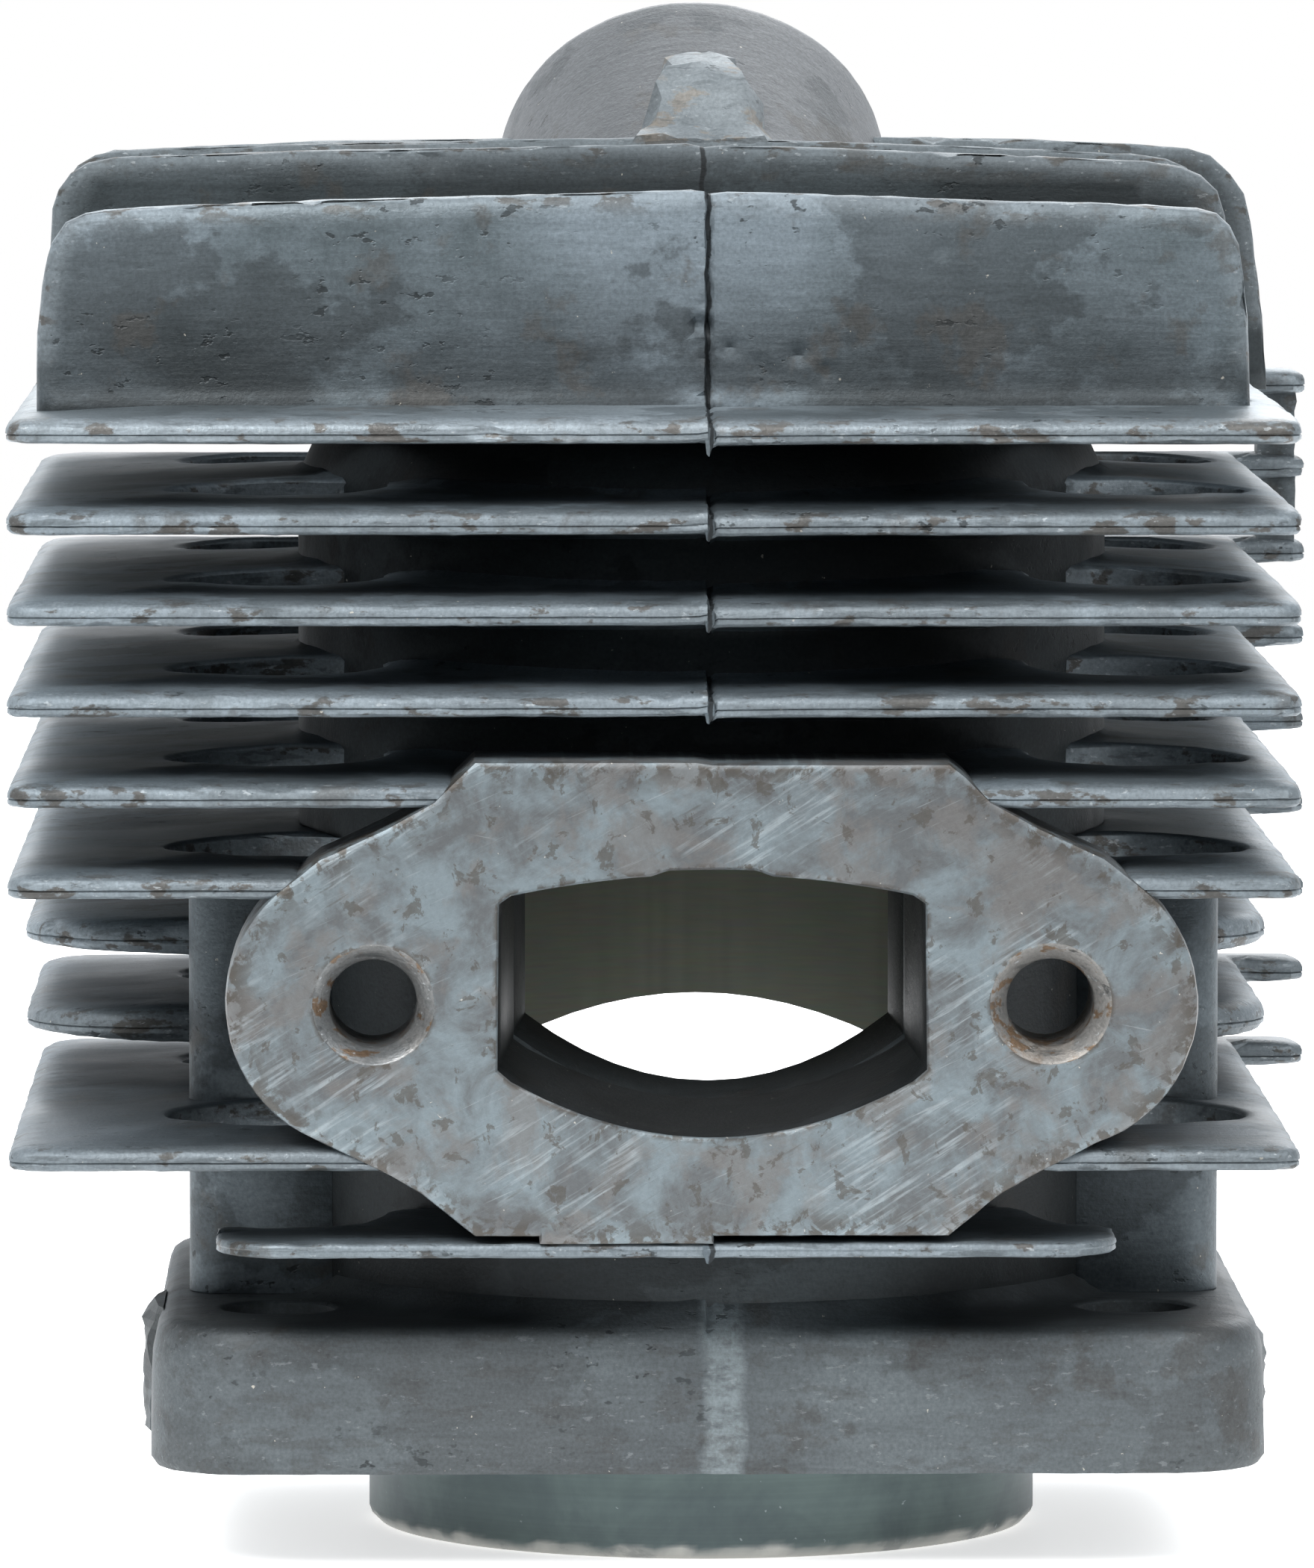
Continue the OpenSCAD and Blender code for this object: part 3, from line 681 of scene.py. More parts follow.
for name in ("barrel", "head_dome", "transfer_duct_left", "transfer_duct_right", "exhaust_duct",
             "intake_duct"):
    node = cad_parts[name]
    node.data.materials.clear()
    # the barrel and the dome take the finish with painted shade
    node.data.materials.append(barrel_painted_shade_skin if name in ("barrel", "head_dome") else body_skin)
    node.data.materials.append(honed_bore)
    for face in node.data.polygons:
        centre = face.center / mm
        in_bore = name == "barrel" and math.hypot(centre.x, centre.y) < 18.2
        face.material_index = 1 if in_bore else 0
        face.use_smooth = True
    soften = node.modifiers.new("weld", "WELD")
    soften.merge_threshold = 0.002 * mm
    rounding = node.modifiers.new("cast_radius", "BEVEL")
    rounding.width = 0.35 * mm
    rounding.segments = 3
    rounding.limit_method = "ANGLE"
    rounding.angle_limit = math.radians(40)
    rounding.harden_normals = True

# ---------------------------------------------------------------- exhaust flange
# A flat pad with two tapped lobes, cast with the duct and dressed flat on a belt, so its face is bright,
# scratched on the slant, and still brown and pitted where the belt didn't reach.

flange_low, flange_high = (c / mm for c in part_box("exhaust_flange"))
stud_x, stud_z, stud_r = 19.0, 27.3, 2.52
lobe_r = flange_high.x - stud_x
mid_y = (flange_low.y + flange_high.y) / 2
depth = flange_high.y - flange_low.y
front_face = depth / 2


def bow(x0, x1, z, sag, count=26):
    """A shallow arc from x0 to x1, sag above its ends."""
    u = np.linspace(0, 1, count)
    return np.stack([x0 + (x1 - x0) * u, z + 4 * sag * u * (1 - u)], 1)


side = np.concatenate([[[13.3, 14.2], [16.3, 16.6], [18.6, 17.9]],
                       arc((stud_x, stud_z), lobe_r, -66, 54, 0.8),
                       [[22.0, 35.5], [18.3, 37.2], [15.6, 38.7], [14.2, 40.1], [13.3, 40.8]]])
pad = [[-9.7, 14.2], [-9.7, 13.75], [0.1, 13.75], [0.1, 14.2]]
rim = outline(side, side[::-1] * [-1, 1], pad)
# the left half stands a little above the right along the top, where the slides met
rim[(rim[:, 1] > 40.7) & (rim[:, 0] < SEAM), 1] += 0.14
face_port = np.concatenate([bow(-12.25, 12.25, 23.5, -3.7), bow(12.25, -12.25, 33.2, 1.4)])
# the core left a shallow raised panel in the middle of the roof
panel = (face_port[:, 1] > 34) & (face_port[:, 0] > -3.4) & (face_port[:, 0] < 2.9)
face_port[panel, 1] += 0.28
# the die's corners are rounded
face_port[[0, 25]] += [[0.2, 0.1], [-0.2, 0.1]]
face_port[[26, 51]] += [[-0.3, -0.25], [0.3, -0.25]]
bore_port = np.concatenate([bow(-10.2, 10.2, 25.5, -3), bow(10.2, -10.2, 33.2, 1)])


def port_ring(t):
    """The port's outline, t of the way through the flange."""
    return outline_pair(face_port + (bore_port - face_port) * t * depth / 17)


def outline_pair(loop):
    """Divides the two upright sides of a port, which join its arcs."""
    arcs = np.split(loop, 2)
    rise = np.linspace(0, 1, 10)[1:-1, None]
    up = arcs[0][-1] + (arcs[1][0] - arcs[0][-1]) * rise
    down = arcs[1][-1] + (arcs[0][0] - arcs[1][-1]) * rise
    return np.concatenate([arcs[0], up, arcs[1], down])


def off_port(p):
    """Where the flange is rubbed: everywhere but inside the port."""
    return (np.abs(p[:, 0]) > 12.6) | (p[:, 1] < 19) | (p[:, 2] > front_face - 0.05)


def flat(height):
    """A face of a plate that lies at one height all over."""
    return lambda points, from_rim, from_hole: np.full(len(points), height)


def stand(y_mid, facing):
    """Stands a plate across the casting, with its upper face to the exhaust side (-1) or intake side (1)."""
    return lambda p: np.column_stack([p[:, 0], y_mid + facing * p[:, 2], p[:, 1]])


edge_break = 0.14        # the belt leaves a narrow burnished edge round the port
port_wall = [at_height(shift(port_ring(0), -edge_break), front_face)]
port_wall += [at_height(port_ring(t), front_face - edge_break - t * (depth - edge_break))
              for t in (0.0, 0.25, 0.5, 0.75, 1.0)]
walls = [rings(rim, [(front_face, 0.3), (front_face - 0.12, 0.08), (front_face - 0.5, 0.0), (1.5, -0.03),
                     (-2, -0.03), (0.3 - front_face, 0.0), (-front_face, 0.3)]), port_wall]
turn = np.linspace(0, 2 * math.pi, 57)[:-1]
# each stud hole is countersunk, and its thread is drawn as plain grooves
bore = [(front_face, 3.42), (front_face - 0.06, 3.3), (front_face - 0.9, 2.56)]
bore += [(front_face - 1.1 - 0.5 * k, stud_r + (0.07 if k % 2 else -0.05)) for k in range(14)]
bore += [(-front_face, stud_r)]
for x in (-stud_x, stud_x):
    walls.append([at_height(np.column_stack([x + r * np.cos(turn), stud_z + r * np.sin(turn)]), w)
                  for w, r in bore])
flange_face = cast_plate("exhaust_flange_face", walls, flat(front_face), flat(-front_face),
                         stand(mid_y, -1), insets=(0.25, 0.7), step=1.0, grain=0.45, wear=off_port)

# a coarse belt leaves bright scratches, and doesn't reach the hollows; its 0.1 mm scratches are drawn at
# 0.16 to 0.3 mm so that they show
filed, tree, shader, place = new_finish("belt_dressed_aluminium")


def belt_patches(place, size_mm, detail, low, high, offset):
    """A mask of the torn-edged patches that a belt leaves."""
    return patches(place, size_mm, detail, low, high, offset, roughness=0.65, warp=0.4)


def scratches(place, angle, length_mm, width_mm, low, high):
    """A mask of scratches at an angle in the plane of the face."""
    tree = place.id_data
    slanted = add_node(tree, "ShaderNodeMapping", [("Rotation", (0, math.radians(angle), 0))],
                       [("Vector", place)])
    drawn = add_node(tree, "ShaderNodeMapping", [("Scale", (1 / (length_mm * mm), 1, 1 / (width_mm * mm)))],
                     [("Vector", slanted.outputs[0])])
    torn = add_node(tree, "ShaderNodeTexNoise", [("Scale", 1.0), ("Detail", 3.0), ("Roughness", 0.6)],
                    [("Vector", drawn.outputs[0])])
    return add_node(tree, "ShaderNodeMapRange", [("From Min", low), ("From Max", high)],
                    [("Value", torn.outputs["Fac"])]).outputs["Result"]


dull = add_node(tree, "ShaderNodeMix", [("data_type", "RGBA"), (6, linear("5b5e60")),
                (7, linear("747f84"))], [(0, belt_patches(place, 3.5, 8, 0.4, 0.6, (0.1, 0.2, 0.3)))])
dull = dull.outputs[2]
dull = layer(dull, "6b6866", 0.6, belt_patches(place, 5, 6, 0.5, 0.58, (0.5, 0.1, 0.9)))
dull = layer(dull, "a3adb1", 0.5, scratches(place, 33, 5, 0.3, 0.5, 0.64),
             belt_patches(place, 11, 4, 0.5, 0.6, (0.2, 0.6, 0.1)))
dull = layer(dull, "a2aaad", 0.45, scratches(place, 24, 6, 0.16, 0.64, 0.74))
dull = layer(dull, "9a9fa0", 0.4, scratches(place, -12, 7, 0.2, 0.68, 0.76))
dull = layer(dull, "4c4a46", 0.45, scratches(place, 30, 4, 0.3, 0.64, 0.72))
dull = layer(dull, "4b4741", 0.66, belt_patches(place, 1.6, 10, 0.585, 0.61, (0.8, 0.3, 0.6)))
edge_wear = add_node(tree, "ShaderNodeAttribute", [("attribute_name", "rim")]).outputs["Fac"]
dull = layer(dull, "453f38", 0.8, edge_wear, belt_patches(place, 1.3, 8, 0.49, 0.54, (0.4, 0.4, 0.2)))
dull = layer(dull, "bdb9b0", 0.8, belt_patches(place, 0.5, 2, 0.73, 0.76, (0.7, 0.5, 0.3)))
grit = belt_patches(place, 0.3, 4, 0.25, 0.75, (0.2, 0.9, 0.5))
dull = layer(dull, "b4b4b4", 0.3, grit, blend="MULTIPLY")
tree.links.new(dull, shader.inputs["Base Color"])
shader.inputs["Metallic"].default_value = 0.5
shader.inputs["Roughness"].default_value = 0.48
scratch_relief = add_node(tree, "ShaderNodeMath", [("operation", "ADD")],
                          [(0, scratches(place, 28, 6, 0.16, 0.5, 0.8)), (1, grit)])
bump = add_node(tree, "ShaderNodeBump", [("Strength", 0.4), ("Distance", 0.03 * mm)],
                [("Height", scratch_relief.outputs[0])])
tree.links.new(bump.outputs["Normal"], shader.inputs["Normal"])
keep_piece(flange_face, filed, "filed_aluminium", "exhaust_flange")
# the belt never reaches the port's walls, which are painted near black as shade deep in the port,
# nor the threads of the stud holes, which old oil left bronze
port_painted_shade_skin = die_cast_skin("die_cast_port_painted_shade_skin", "2b2f31", "1b1e20", "17191a", "201f1e", roughness=0.5)
tapped = die_cast_skin("tapped_oily_aluminium", "8f7c66", "54473a", "332b22", "6b533a", roughness=0.36)
flange_face.data.materials.append(port_painted_shade_skin)
flange_face.data.materials.append(tapped)
for face in flange_face.data.polygons:
    centre = face.center / mm
    from_stud = math.hypot(abs(centre.x) - stud_x, centre.z - stud_z)
    if from_stud < 3.6 and centre.y > flange_low.y + 0.02:
        face.material_index = 2
    elif abs(face.normal.y) < 0.5 and abs(centre.x) < 12.4 and 18 < centre.z < 36:
        face.material_index = 1

# ---------------------------------------------------------------- upright fins on the head
# Four upright plates across the head, the first lower than the rest and the last cut in two by the plug
# boss. Their front faces show the most of the casting skin: clouds, burnt release agent, dents and flash.

buried = 1.6             # how deep the plates' feet run into the top level fin
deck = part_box("fin_10")[1].z / mm - buried
# its foot band is burnt release agent and painted shade where the plate meets the deck
head_skin = die_cast_skin("die_cast_head_skin", "828e96", "616c71", "353a3c", "55504a", foot=deck + 1.5,
                          seam=-20, roughness=0.55)
# the plates behind stand in each other's shade, so this darker copy of the finish is painted shade
painted_shade_skin = die_cast_skin("die_cast_shaded_skin", "4a5357", "30383b", "222729", "46423c", seam=-5,
                          roughness=0.66)
head_edges = {
    "head_fin_1": [(30.6, deck), (30.5, 64.4), (30.2, 67.7), (29.9, 69.5), (29.4, 70.6), (28.7, 71.3),
                   (27.6, 71.6), (24.7, 71.8), (16.4, 72.0), (0, 72.6), (-22.4, 72.0), (-33.1, 71.6),
                   (-35.2, 71.3), (-36.3, 70.8), (-37.1, 69.6), (-37.5, 68.1), (-37.9, 64.6), (-38, deck)],
    "head_fin_2": [(30.6, deck), (30.4, 67.5), (30.1, 70.7), (29.6, 72.1), (28.7, 73), (27.6, 73.5),
                   (25.5, 73.8), (17.1, 74.2), (0, 74.8), (-22.5, 74.4), (-34, 74), (-35.5, 73.7),
                   (-36.5, 73.1), (-37.2, 72.2), (-37.5, 71.1), (-37.8, 66), (-38, deck)],
    "head_fin_4_left": [(-7.6, deck), (-10.2, 63), (-11.3, 67), (-11.3, 71), (-10.5, 74.3), (-22.9, 74.1),
                        (-34.8, 73.6), (-35.7, 73.3), (-36.8, 72), (-37.1, 69), (-37.4, deck)],
    "head_fin_4_right": [(34.5, deck), (34.2, 63.7), (33.9, 66.2), (33.5, 69.3), (33.1, 71), (32.3, 72.2),
                         (31.1, 73.3), (29.8, 73.7), (26, 74), (18.4, 74.3), (10.5, 74.4), (11.3, 71),
                         (11.3, 67), (10.2, 63), (7.6, deck)],
}
head_edges["head_fin_3"] = head_edges["head_fin_2"]
# where the second and third fins sit on the dome, their feet stop inside its roof
feet = {"head_fin_2": arc((0, 46.3), 21.7, 142, 38, 1.5),
        "head_fin_3": np.concatenate([arc((0, 46.3), 20.4, 139, 113, 1.5), [[-8, 70], [8, 70]],
                                      arc((0, 46.3), 20.4, 67, 41, 1.5)])}
UPRIGHT_RIM = [(0.5, 0.0), (0.2, -0.05), (-0.3, -0.05), (-0.55, 0.0)]
# ejector and handling dents right of the seam, and a chip out of its lip: x, z, half width, half height
# and depth of each
dents = [(1.1, 63.8, 0.75, 0.36, 0.3), (5.1, 63.4, 0.8, 0.45, 0.34), (2.8, 62.7, 0.6, 0.3, 0.22),
         (3.5, 62.3, 0.6, 0.25, 0.2), (6.6, 62.4, 0.7, 0.3, 0.22), (-0.5, 65.0, 0.8, 0.7, 0.55),
         (13.0, 69.3, 0.5, 0.4, 0.25)]


def upright_face(points, from_rim, side, dented=False):
    """The face of an upright fin: rounded over at its top, thicker and filleted at its foot."""
    edge = UPRIGHT_RIM[0][0] if side > 0 else -UPRIGHT_RIM[-1][0]
    above = np.clip(points[:, 1] - deck - buried, 0, 20)
    half = 1.1 - 0.012 * above
    curve = np.sqrt(1 - (1 - np.minimum(from_rim / 1.1, 1)) ** 2)
    foot = 0.3 * np.clip(1 - above / 0.5, 0, 1) ** 2 * np.clip(from_rim / 0.5, 0, 1)
    hollow = 0
    if dented:
        for x, z, wide, high, deep in dents:
            apart = np.hypot((points[:, 0] - x) / wide, (points[:, 1] - z) / high)
            hollow = hollow + deep * np.clip(1 - apart ** 2, 0, 1)
    return side * (edge + (half - edge) * curve + foot - hollow)


def upright_place(p, y_mid, front_plate):
    """Stands a plate up across the head, and steps its top edge, and the first one's face, at the seam."""
    step = set_back(p[:, 0])
    return np.column_stack([p[:, 0], y_mid - p[:, 2] + front_plate * (p[:, 2] > 0) * step,
                            p[:, 1] - 0.5 * step * (p[:, 1] > 70)])


for name in ("head_fin_1", "head_fin_2", "head_fin_3", "head_fin_4_left", "head_fin_4_right"):
    edges = head_edges[name]
    loop = outline(edges, feet.get(name, edges[:1]), step=1.0)
    y_mid = (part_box(name)[0].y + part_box(name)[1].y) / 2 / mm
    # only the first plate's whole face shows, so it alone is fine enough for dents
    first = name == "head_fin_1"
    piece = cast_plate(name + "_casting", [rings(loop, UPRIGHT_RIM)],
                       lambda p, rim, hole: upright_face(p, rim, 1, first),
                       lambda p, rim, hole: upright_face(p, rim, -1),
                       lambda p: upright_place(p, y_mid, first), insets=(0.15, 0.45, 0.9),
                       step=0.45 if first else 1.1, columns=SEAM_COLUMNS if first else (),
                       wear=lambda p: p[:, 1] > deck + 4)
    keep_piece(piece, head_skin if first else painted_shade_skin, "cast_aluminium", name)

# ---------------------------------------------------------------- base flange
# The thick rectangular foot that seats on the crankcase, with four clearance holes and the mouths of the
# two transfer passages. Its rim has a little draft, and its upper corners are well rounded.

base_low, base_high = (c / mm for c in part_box("base_flange"))
half_z = (base_high.z - base_low.z) / 2
corner = 6.0
foot_outline = outline(*[arc((sx * (base_high.x - corner), sy * (base_high.y - corner)), corner, a, a + 90)
                         for sx, sy, a in ((-1, -1, 180), (1, -1, 270), (1, 1, 0), (-1, 1, 90))])
mouth_half = 7.5
tip = math.degrees(math.asin(mouth_half / (BARREL - MERGE)))
duct_wall = 1.8
mouth_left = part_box("transfer_duct_left")[0].x / mm + duct_wall
mouth_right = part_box("transfer_duct_right")[1].x / mm - duct_wall
mouth = outline(arc((0, 0), BARREL - MERGE, tip, 180 - tip, 1.2),
                [[mouth_left, mouth_half], [mouth_left, -mouth_half]],
                arc((0, 0), BARREL - MERGE, 180 + tip, 360 - tip, 1.2),
                [[mouth_right, -mouth_half], [mouth_right, mouth_half]])
walls = [rings(foot_outline, [(half_z - 1.0, 0.35), (half_z - 1.9, 0.16), (1, 0.1), (-1.5, 0.04),
                              (0.5 - half_z, 0.0), (-half_z, 0.35)]),
         [at_height(mouth, w) for w in (half_z, 0, -half_z)]]
screw_hole_r = 3.2
for x, y in wells:
    hole = outline(arc((x, y), screw_hole_r, 0, 350, 0.6))
    walls.append([at_height(hole, w) for w in (half_z - 0.15, 0, 0.15 - half_z)])


def foot_top(points, from_rim, from_hole):
    """The upper face, rounded down to the rim and raised in a fillet round the barrel."""
    roll = 1.0 * (1 - np.sqrt(1 - (1 - np.minimum(from_rim / 1.7, 1)) ** 2))
    climb = 1.3 * np.clip(1 - (np.linalg.norm(points, axis=1) - BARREL) / 1.8, 0, 1) ** 2
    climb *= np.abs(points[:, 1]) > 9
    return half_z - roll + climb


def foot_place(p):
    """Puts the foot at its height, with a step at the seam along its front upper edge."""
    step = 0.8 * set_back(p[:, 0]) * (p[:, 1] < -20) * (p[:, 2] > half_z - 2)
    return np.column_stack([p[:, 0], p[:, 1], p[:, 2] + base_low.z + half_z - step])


piece = cast_plate("base_flange_casting", walls, foot_top, flat(-half_z), foot_place,
                   insets=(0.2, 0.6, 1.1), step=1.3, columns=SEAM_COLUMNS, wear=lambda p: 0.3)


def add_stub(mesh, side, z_top):
    """Adds the rough stub of a runner that was broken off the side of the foot."""
    root = -0.6              # the stub starts inside the foot
    section = [(root, -13), (0.15, -12), (0.55, -10), (0.65, -8), (0.45, -6), (root, -4)]
    heights = np.arange(0.5, z_top, 0.45)
    shape = bmesh.new()
    shape.from_mesh(mesh)
    rows = []
    for z in heights:
        row = []
        for out, y in section:
            p = Vector((side * (base_high.x + out), y, z))
            rough = 0.3 * noise.noise(p * 0.9) + 0.15 * noise.noise(p * 2.7)
            end = min(1.0, (z - heights[0]) / 0.5, (heights[-1] - z) / 0.8)
            reach = root + (out - root + rough * (out > 0)) * (0.45 + 0.55 * end)
            row.append(shape.verts.new(Vector((side * (base_high.x + reach), y + rough, z)) * mm))
        rows.append(row)
    made = []
    for low, high in zip(rows, rows[1:]):
        for i in range(len(section)):
            j = (i + 1) % len(section)
            made.append(shape.faces.new((low[i], low[j], high[j], high[i])))
    made.append(shape.faces.new(rows[0]))
    made.append(shape.faces.new(rows[-1]))
    bmesh.ops.recalc_face_normals(shape, faces=made)
    shape.to_mesh(mesh)
    shape.free()


add_stub(piece.data, -1, 8.4)
add_stub(piece.data, 1, 7.2)
# the foot is browner and duller than the fins, with a pale streak down its front under the seam
base_skin = die_cast_skin("die_cast_base_skin", "5a6164", "373b3d", "343636", "403d3a",
                          witness=(-0.4, 1.9), roughness=0.55)
keep_piece(piece, base_skin, "cast_aluminium", "base_flange")

# ---------------------------------------------------------------- spigot
# The collar that enters the crankcase, turned in a lathe after casting. It shows fine tool rings, and its
# chamfer is bright and a little ragged where the tool broke out through pores.


def turned(name, profile, axis_point, axis, segments, ring_move=None):
    """A ring turned about an axis: its closed profile is (radius, height along the axis), in millimetres."""
    axis = Vector(axis).normalized()
    across = axis.orthogonal().normalized()
    other = axis.cross(across)
    verts, faces = [], []
    for k, (r, h) in enumerate(profile):
        for i in range(segments):
            a = 2 * math.pi * i / segments
            out = across * math.cos(a) + other * math.sin(a)
            here = Vector(axis_point) + axis * h + out * r
            if ring_move:
                here = ring_move(k, here, out, r)
            verts.append(here * mm)
    rows = len(profile)
    for k in range(rows):
        for i in range(segments):
            j = (i + 1) % segments
            a, b = k * segments, ((k + 1) % rows) * segments
            faces.append((a + i, a + j, b + j, b + i))
    mesh = bpy.data.meshes.new(name)
    mesh.from_pydata(verts, [], faces)
    face_outwards(mesh)
    return mesh


spigot_low, spigot_high = (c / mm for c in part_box("spigot"))
spigot_r = spigot_high.x
spigot_bore = 18.02
profile = [(spigot_bore, 0.4), (spigot_bore, spigot_low.z + 0.3), (18.3, spigot_low.z),
           (spigot_r - 0.75, spigot_low.z),
           (spigot_r - 0.55, spigot_low.z + 0.05), (spigot_r - 0.05, spigot_low.z + 0.6),
           (spigot_r, spigot_low.z + 0.75), (spigot_r, spigot_low.z + 0.95),
           (spigot_r, spigot_low.z + 1.2), (spigot_r, -3.8), (spigot_r, -2.6), (spigot_r, -1.4),
           (spigot_r - 0.02, -0.2), (spigot_r - 0.02, 0.4)]
mesh = turned("spigot_collar", profile, (0, 0, 0), (0, 0, 1), 240)
edge_zone = []
for vertex in mesh.vertices:
    p = vertex.co / mm
    near = max(0.0, 1 - abs(p.z - spigot_low.z - 0.6) / 0.35) * (1 if math.hypot(p.x, p.y) > 19 else 0)
    vertex.co.z += (0.16 * noise.noise(p * 0.9) + 0.1 * noise.noise(p * 2.3)) * near * mm
    level = (spigot_low.z + 0.6 + 0.35 * noise.noise(p * 0.6) - p.z) / 0.4 + 0.5
    edge_zone.append(min(1.0, max(0.0, level)) if math.hypot(p.x, p.y) > 18.6 else 0.0)
mesh.attributes.new("rim", "FLOAT", "POINT").data.foreach_set("value", edge_zone)
spigot = finished("spigot_collar", mesh)
lathe_cut, tree, shader, place = new_finish("turned_aluminium")
# the feed marks of the tool are about 0.1 mm apart, drawn at 0.25 mm so that they show
ring_marks = add_node(tree, "ShaderNodeMapping", [("Scale", (30, 30, 1 / (0.25 * mm)))],
                      [("Vector", place)])
marks = add_node(tree, "ShaderNodeTexNoise", [("Scale", 1.0), ("Detail", 2.0)],
                 [("Vector", ring_marks.outputs[0])])
dull = add_node(tree, "ShaderNodeMix", [("data_type", "RGBA"), (6, linear("4c585b")),
                (7, linear("61706f"))], [(0, belt_patches(place, 8, 5, 0.35, 0.65, (0.1, 0.1, 0.3)))])
dull = dull.outputs[2]
edge_wear = add_node(tree, "ShaderNodeAttribute", [("attribute_name", "rim")]).outputs["Fac"]
dull = layer(dull, "c2c1bc", 0.85, edge_wear)
dull = layer(dull, "4e5a5d", 0.4, belt_patches(place, 4, 6, 0.56, 0.64, (0.6, 0.2, 0.3)))
dull = layer(dull, "a9b3b5", 0.6, belt_patches(place, 0.5, 2, 0.72, 0.76, (0.3, 0.3, 0.3)))
dull = layer(dull, "9a9a9a", 0.35, marks.outputs["Fac"], blend="MULTIPLY")
tree.links.new(dull, shader.inputs["Base Color"])
shader.inputs["Metallic"].default_value = 0.5
shader.inputs["Roughness"].default_value = 0.5
bump = add_node(tree, "ShaderNodeBump", [("Strength", 0.3), ("Distance", 0.02 * mm)],
                [("Height", marks.outputs["Fac"])])
tree.links.new(bump.outputs["Normal"], shader.inputs["Normal"])
keep_piece(spigot, lathe_cut, "turned_aluminium", "spigot")

# ---------------------------------------------------------------- plug boss and its buttress
# A stout round boss that leans back over the intake side, spot-faced and tapped for the plug. A rough
# buttress runs up to it from the third upright fin, where the two slides and the top core met.

plug_angle = math.radians(30)
PLUG_AXIS = Vector((0, math.cos(plug_angle), math.sin(plug_angle)))
PLUG_RIM = Vector((0, 30.5, 72.6))
BOSS_R, SEAT_R, SEAT_H, THREAD_R = 11.7, 10.0, 2.5, 6.35
chamber_centre = Vector((0, 0, 46.33))
CHAMBER_R = 20.0


def to_chamber(k, here, out, r):
    """Slides the first and last rings down the plug's axis until they meet the chamber's roof."""
    if k not in (0, len(boss_profile) - 1):
        return here
    start = PLUG_RIM + out * r - chamber_centre
    b = start.dot(PLUG_AXIS)
    reach = -b + math.sqrt(max(0.0, b * b - start.length_squared + CHAMBER_R ** 2))
    return PLUG_RIM + out * r + PLUG_AXIS * reach


boss_profile = [(BOSS_R, -24)] + [(BOSS_R + 0.02, -20 + 2 * k) for k in range(10)]
boss_profile += [(BOSS_R, -0.7), (BOSS_R - 0.08, -0.35), (BOSS_R - 0.35, -0.06), (BOSS_R - 0.6, 0),
                 (SEAT_R + 0.2, 0), (SEAT_R, -0.2), (SEAT_R, 0.1 - SEAT_H), (SEAT_R - 0.1, -SEAT_H),
                 (THREAD_R + 0.7, -SEAT_H), (THREAD_R, -0.7 - SEAT_H)]
# the thread is drawn as plain grooves
boss_profile += [(THREAD_R + (0.12 if k % 2 else -0.08), -3.6 - 0.62 * k) for k in range(22)]
boss_profile += [(THREAD_R, -20)]
mesh = turned("plug_boss_casting", boss_profile, PLUG_RIM, PLUG_AXIS, 128, to_chamber)
weather(mesh, 1.2, [0.5] * len(mesh.vertices))
mesh.attributes.new("rim", "FLOAT", "POINT")
boss_skin = die_cast_skin("die_cast_boss_skin", "74777a", "55585b", "454a4d", "524f4a")
keep_piece(finished("plug_boss_casting", mesh), boss_skin, "cast_aluminium", "plug_boss")

# the buttress from front to back: y, height of its crest and half width
stations = [(8.9, 74.9, 5.6), (9.8, 75.3, 5.2), (10.7, 75.9, 4.4), (11.6, 77.2, 3.8), (12.6, 78.3, 3.5),
            (13.8, 78.9, 3.1), (15, 79.3, 2.9), (16.2, 79.6, 2.7), (17.8, 79.5, 2.4), (19.4, 79.1, 2.2)]
verts, faces = [], []
count = 14
for y, top, half in stations:
    for i in range(count):
        t = i / (count - 1) * 2 - 1
        swell = math.copysign(min(1.0, abs(t) * 1.25), t)
        z = top - 9 * max(0.0, abs(t) - 0.62) / 0.38 - 0.25 * abs(t)
        p = Vector((0.35 + half * swell * (1 + 0.3 * max(0.0, abs(t) - 0.62)), y, z))
        p += Vector((noise.noise(p * 0.7), 0.5 * noise.noise(p * 0.9), 0.8 * noise.noise(p * 0.6))) * 0.7
        verts.append(p * mm)
rows = len(stations)
for k in range(rows - 1):
    for i in range(count - 1):
        a = k * count + i
        faces.append((a, a + 1, a + count + 1, a + count))
    faces.append((k * count, (k + 1) * count, (k + 1) * count + count - 1, k * count + count - 1))
faces.append(tuple(range(count)))
faces.append(tuple(range((rows - 1) * count, rows * count)))
mesh = bpy.data.meshes.new("plug_gusset_casting")
mesh.from_pydata(verts, [], faces)
face_outwards(mesh)
mesh.attributes.new("rim", "FLOAT", "POINT").data.foreach_set("value", [0.7] * len(mesh.vertices))
gusset = finished("plug_gusset_casting", mesh)
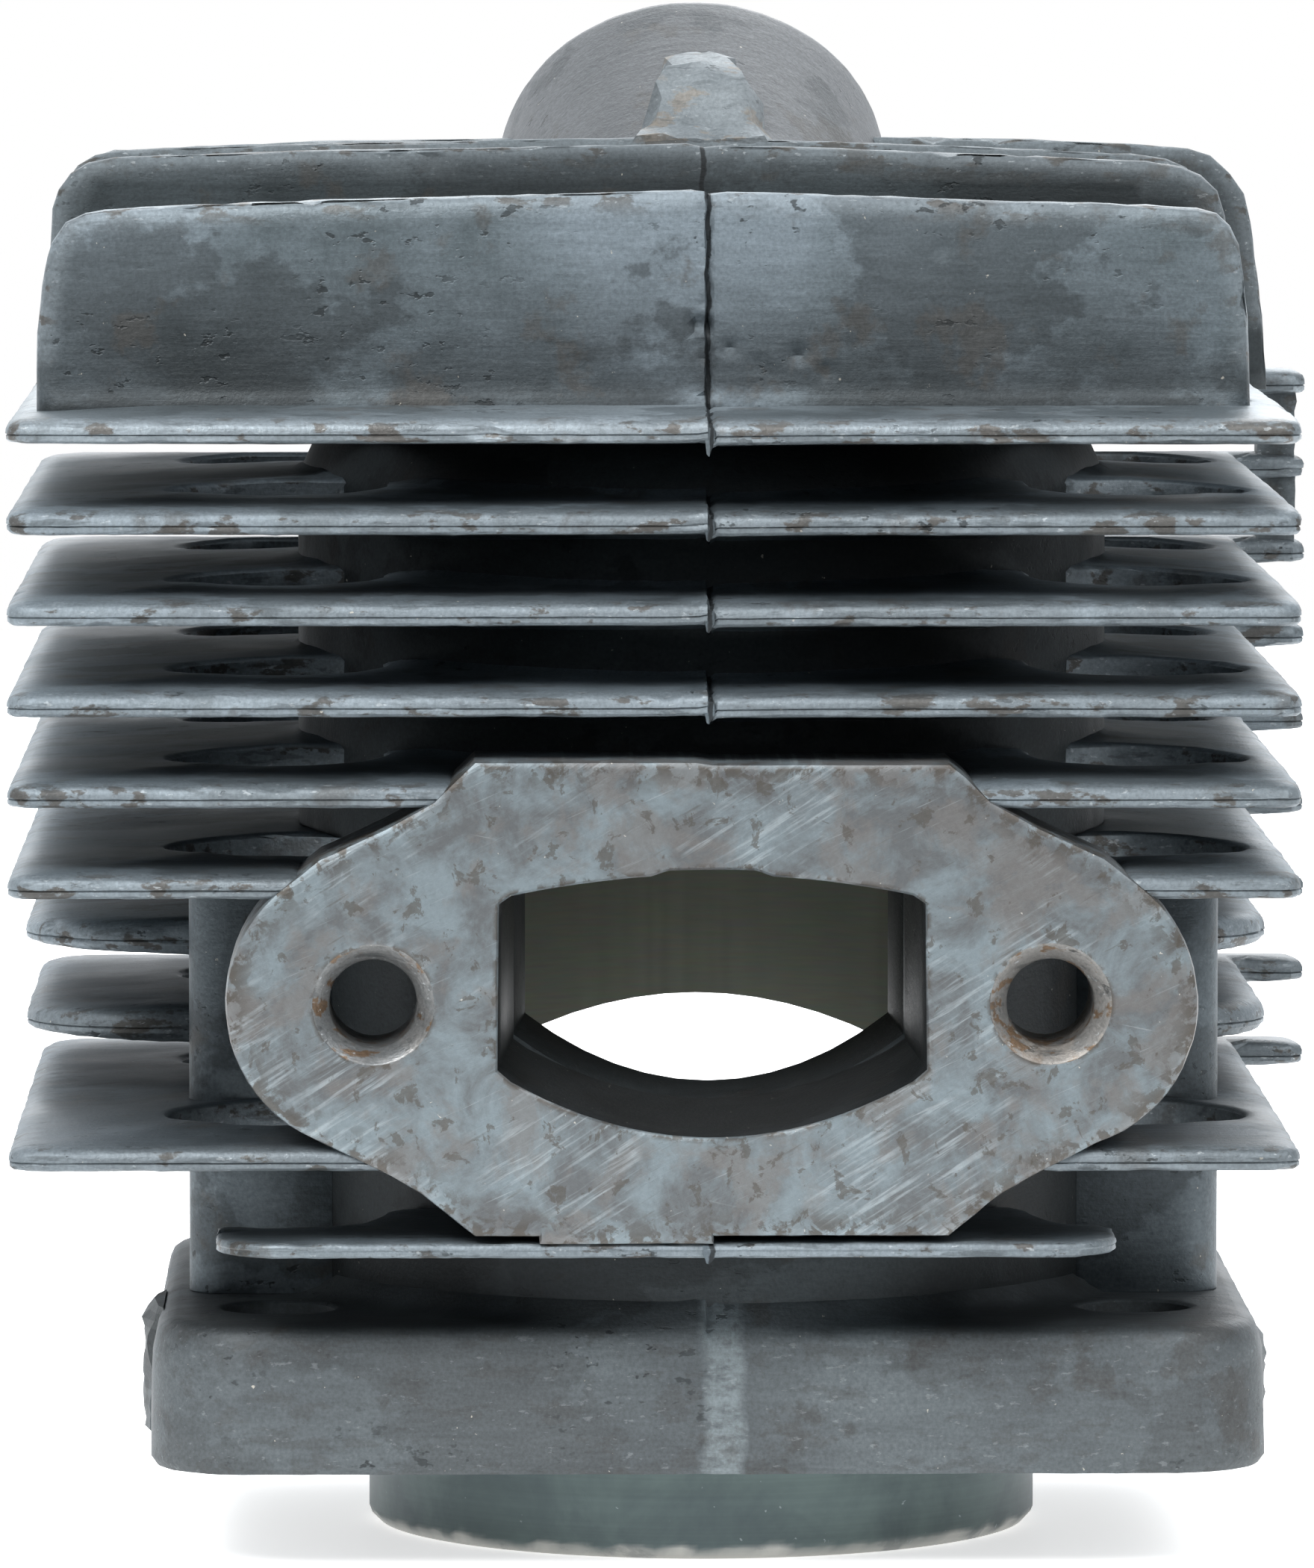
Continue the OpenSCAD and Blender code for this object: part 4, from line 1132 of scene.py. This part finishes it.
# it was broken out of the die, so it is paler and rougher than the rest, and browned
gusset_skin = die_cast_skin("rough_torn_casting", "92989b", "6f7679", "575d60", "8a8073", roughness=0.62)
keep_piece(gusset, gusset_skin, "cast_aluminium", "plug_gusset")

# ---------------------------------------------------------------- intake flange and the corner web
# The plain flange for the carburettor's insulator, dressed like the exhaust flange, and the short ragged
# web of metal left between the corners of the top fins.

in_low, in_high = (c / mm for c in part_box("intake_flange"))
in_mid, in_half = (in_low.y + in_high.y) / 2, (in_high.y - in_low.y) / 2
ear_x, ear_z, ear_r = 17.9, 16.2, 5.5
in_loop = outline(arc((ear_x, ear_z), ear_r, -75, 75, 0.8), [[13, in_high.z], [-13, in_high.z]],
                  arc((-ear_x, ear_z), ear_r, 105, 255, 0.8), [[-13, in_low.z], [13, in_low.z]])
in_port = outline([[-11, 10], [11, 10]], bow(11, -11, 22.2, 1.2))
walls = [rings(in_loop, [(in_half, 0.3), (in_half - 0.3, 0.0), (0.3 - in_half, 0.0), (-in_half, 0.3)]),
         [at_height(in_port, w) for w in (in_half, 0, -in_half)]]
in_stud_x, in_stud_r, countersink = 17.5, 2.1, 0.5
for x in (-in_stud_x, in_stud_x):
    hole = outline(arc((x, ear_z), in_stud_r, 0, 345, 0.4))
    walls.append(rings(hole, [(in_half, -countersink), (in_half - countersink, 0), (-in_half, 0)]))
piece = cast_plate("intake_flange_face", walls, flat(in_half), flat(-in_half), stand(in_mid, 1),
                   insets=(0.25,), step=1.2, grain=0.45)
keep_piece(piece, filed, "filed_aluminium", "intake_flange")

web_low, web_high = (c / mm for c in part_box("rear_web"))
web_mid = (web_low.y + web_high.y) / 2
torn_edge = [[web_high.x + 0.3 * noise.noise(Vector((z * 0.9, 4, 1))) - 0.3, z]
             for z in np.arange(web_low.z, web_high.z, 0.6)]
web_loop = outline([[web_low.x, web_low.z]], torn_edge, [[web_low.x, web_high.z - 0.3]])
web_half = 1.4
piece = cast_plate("rear_web_casting", [rings(web_loop, [(web_half, 0.05), (0, 0), (-web_half, 0.05)])],
                   flat(web_half), flat(-web_half), stand(web_mid, -1), insets=(0.3,), step=0.8)
# the web stands in shade, so it takes the finish with painted shade
keep_piece(piece, painted_shade_skin, "cast_aluminium", "rear_web")
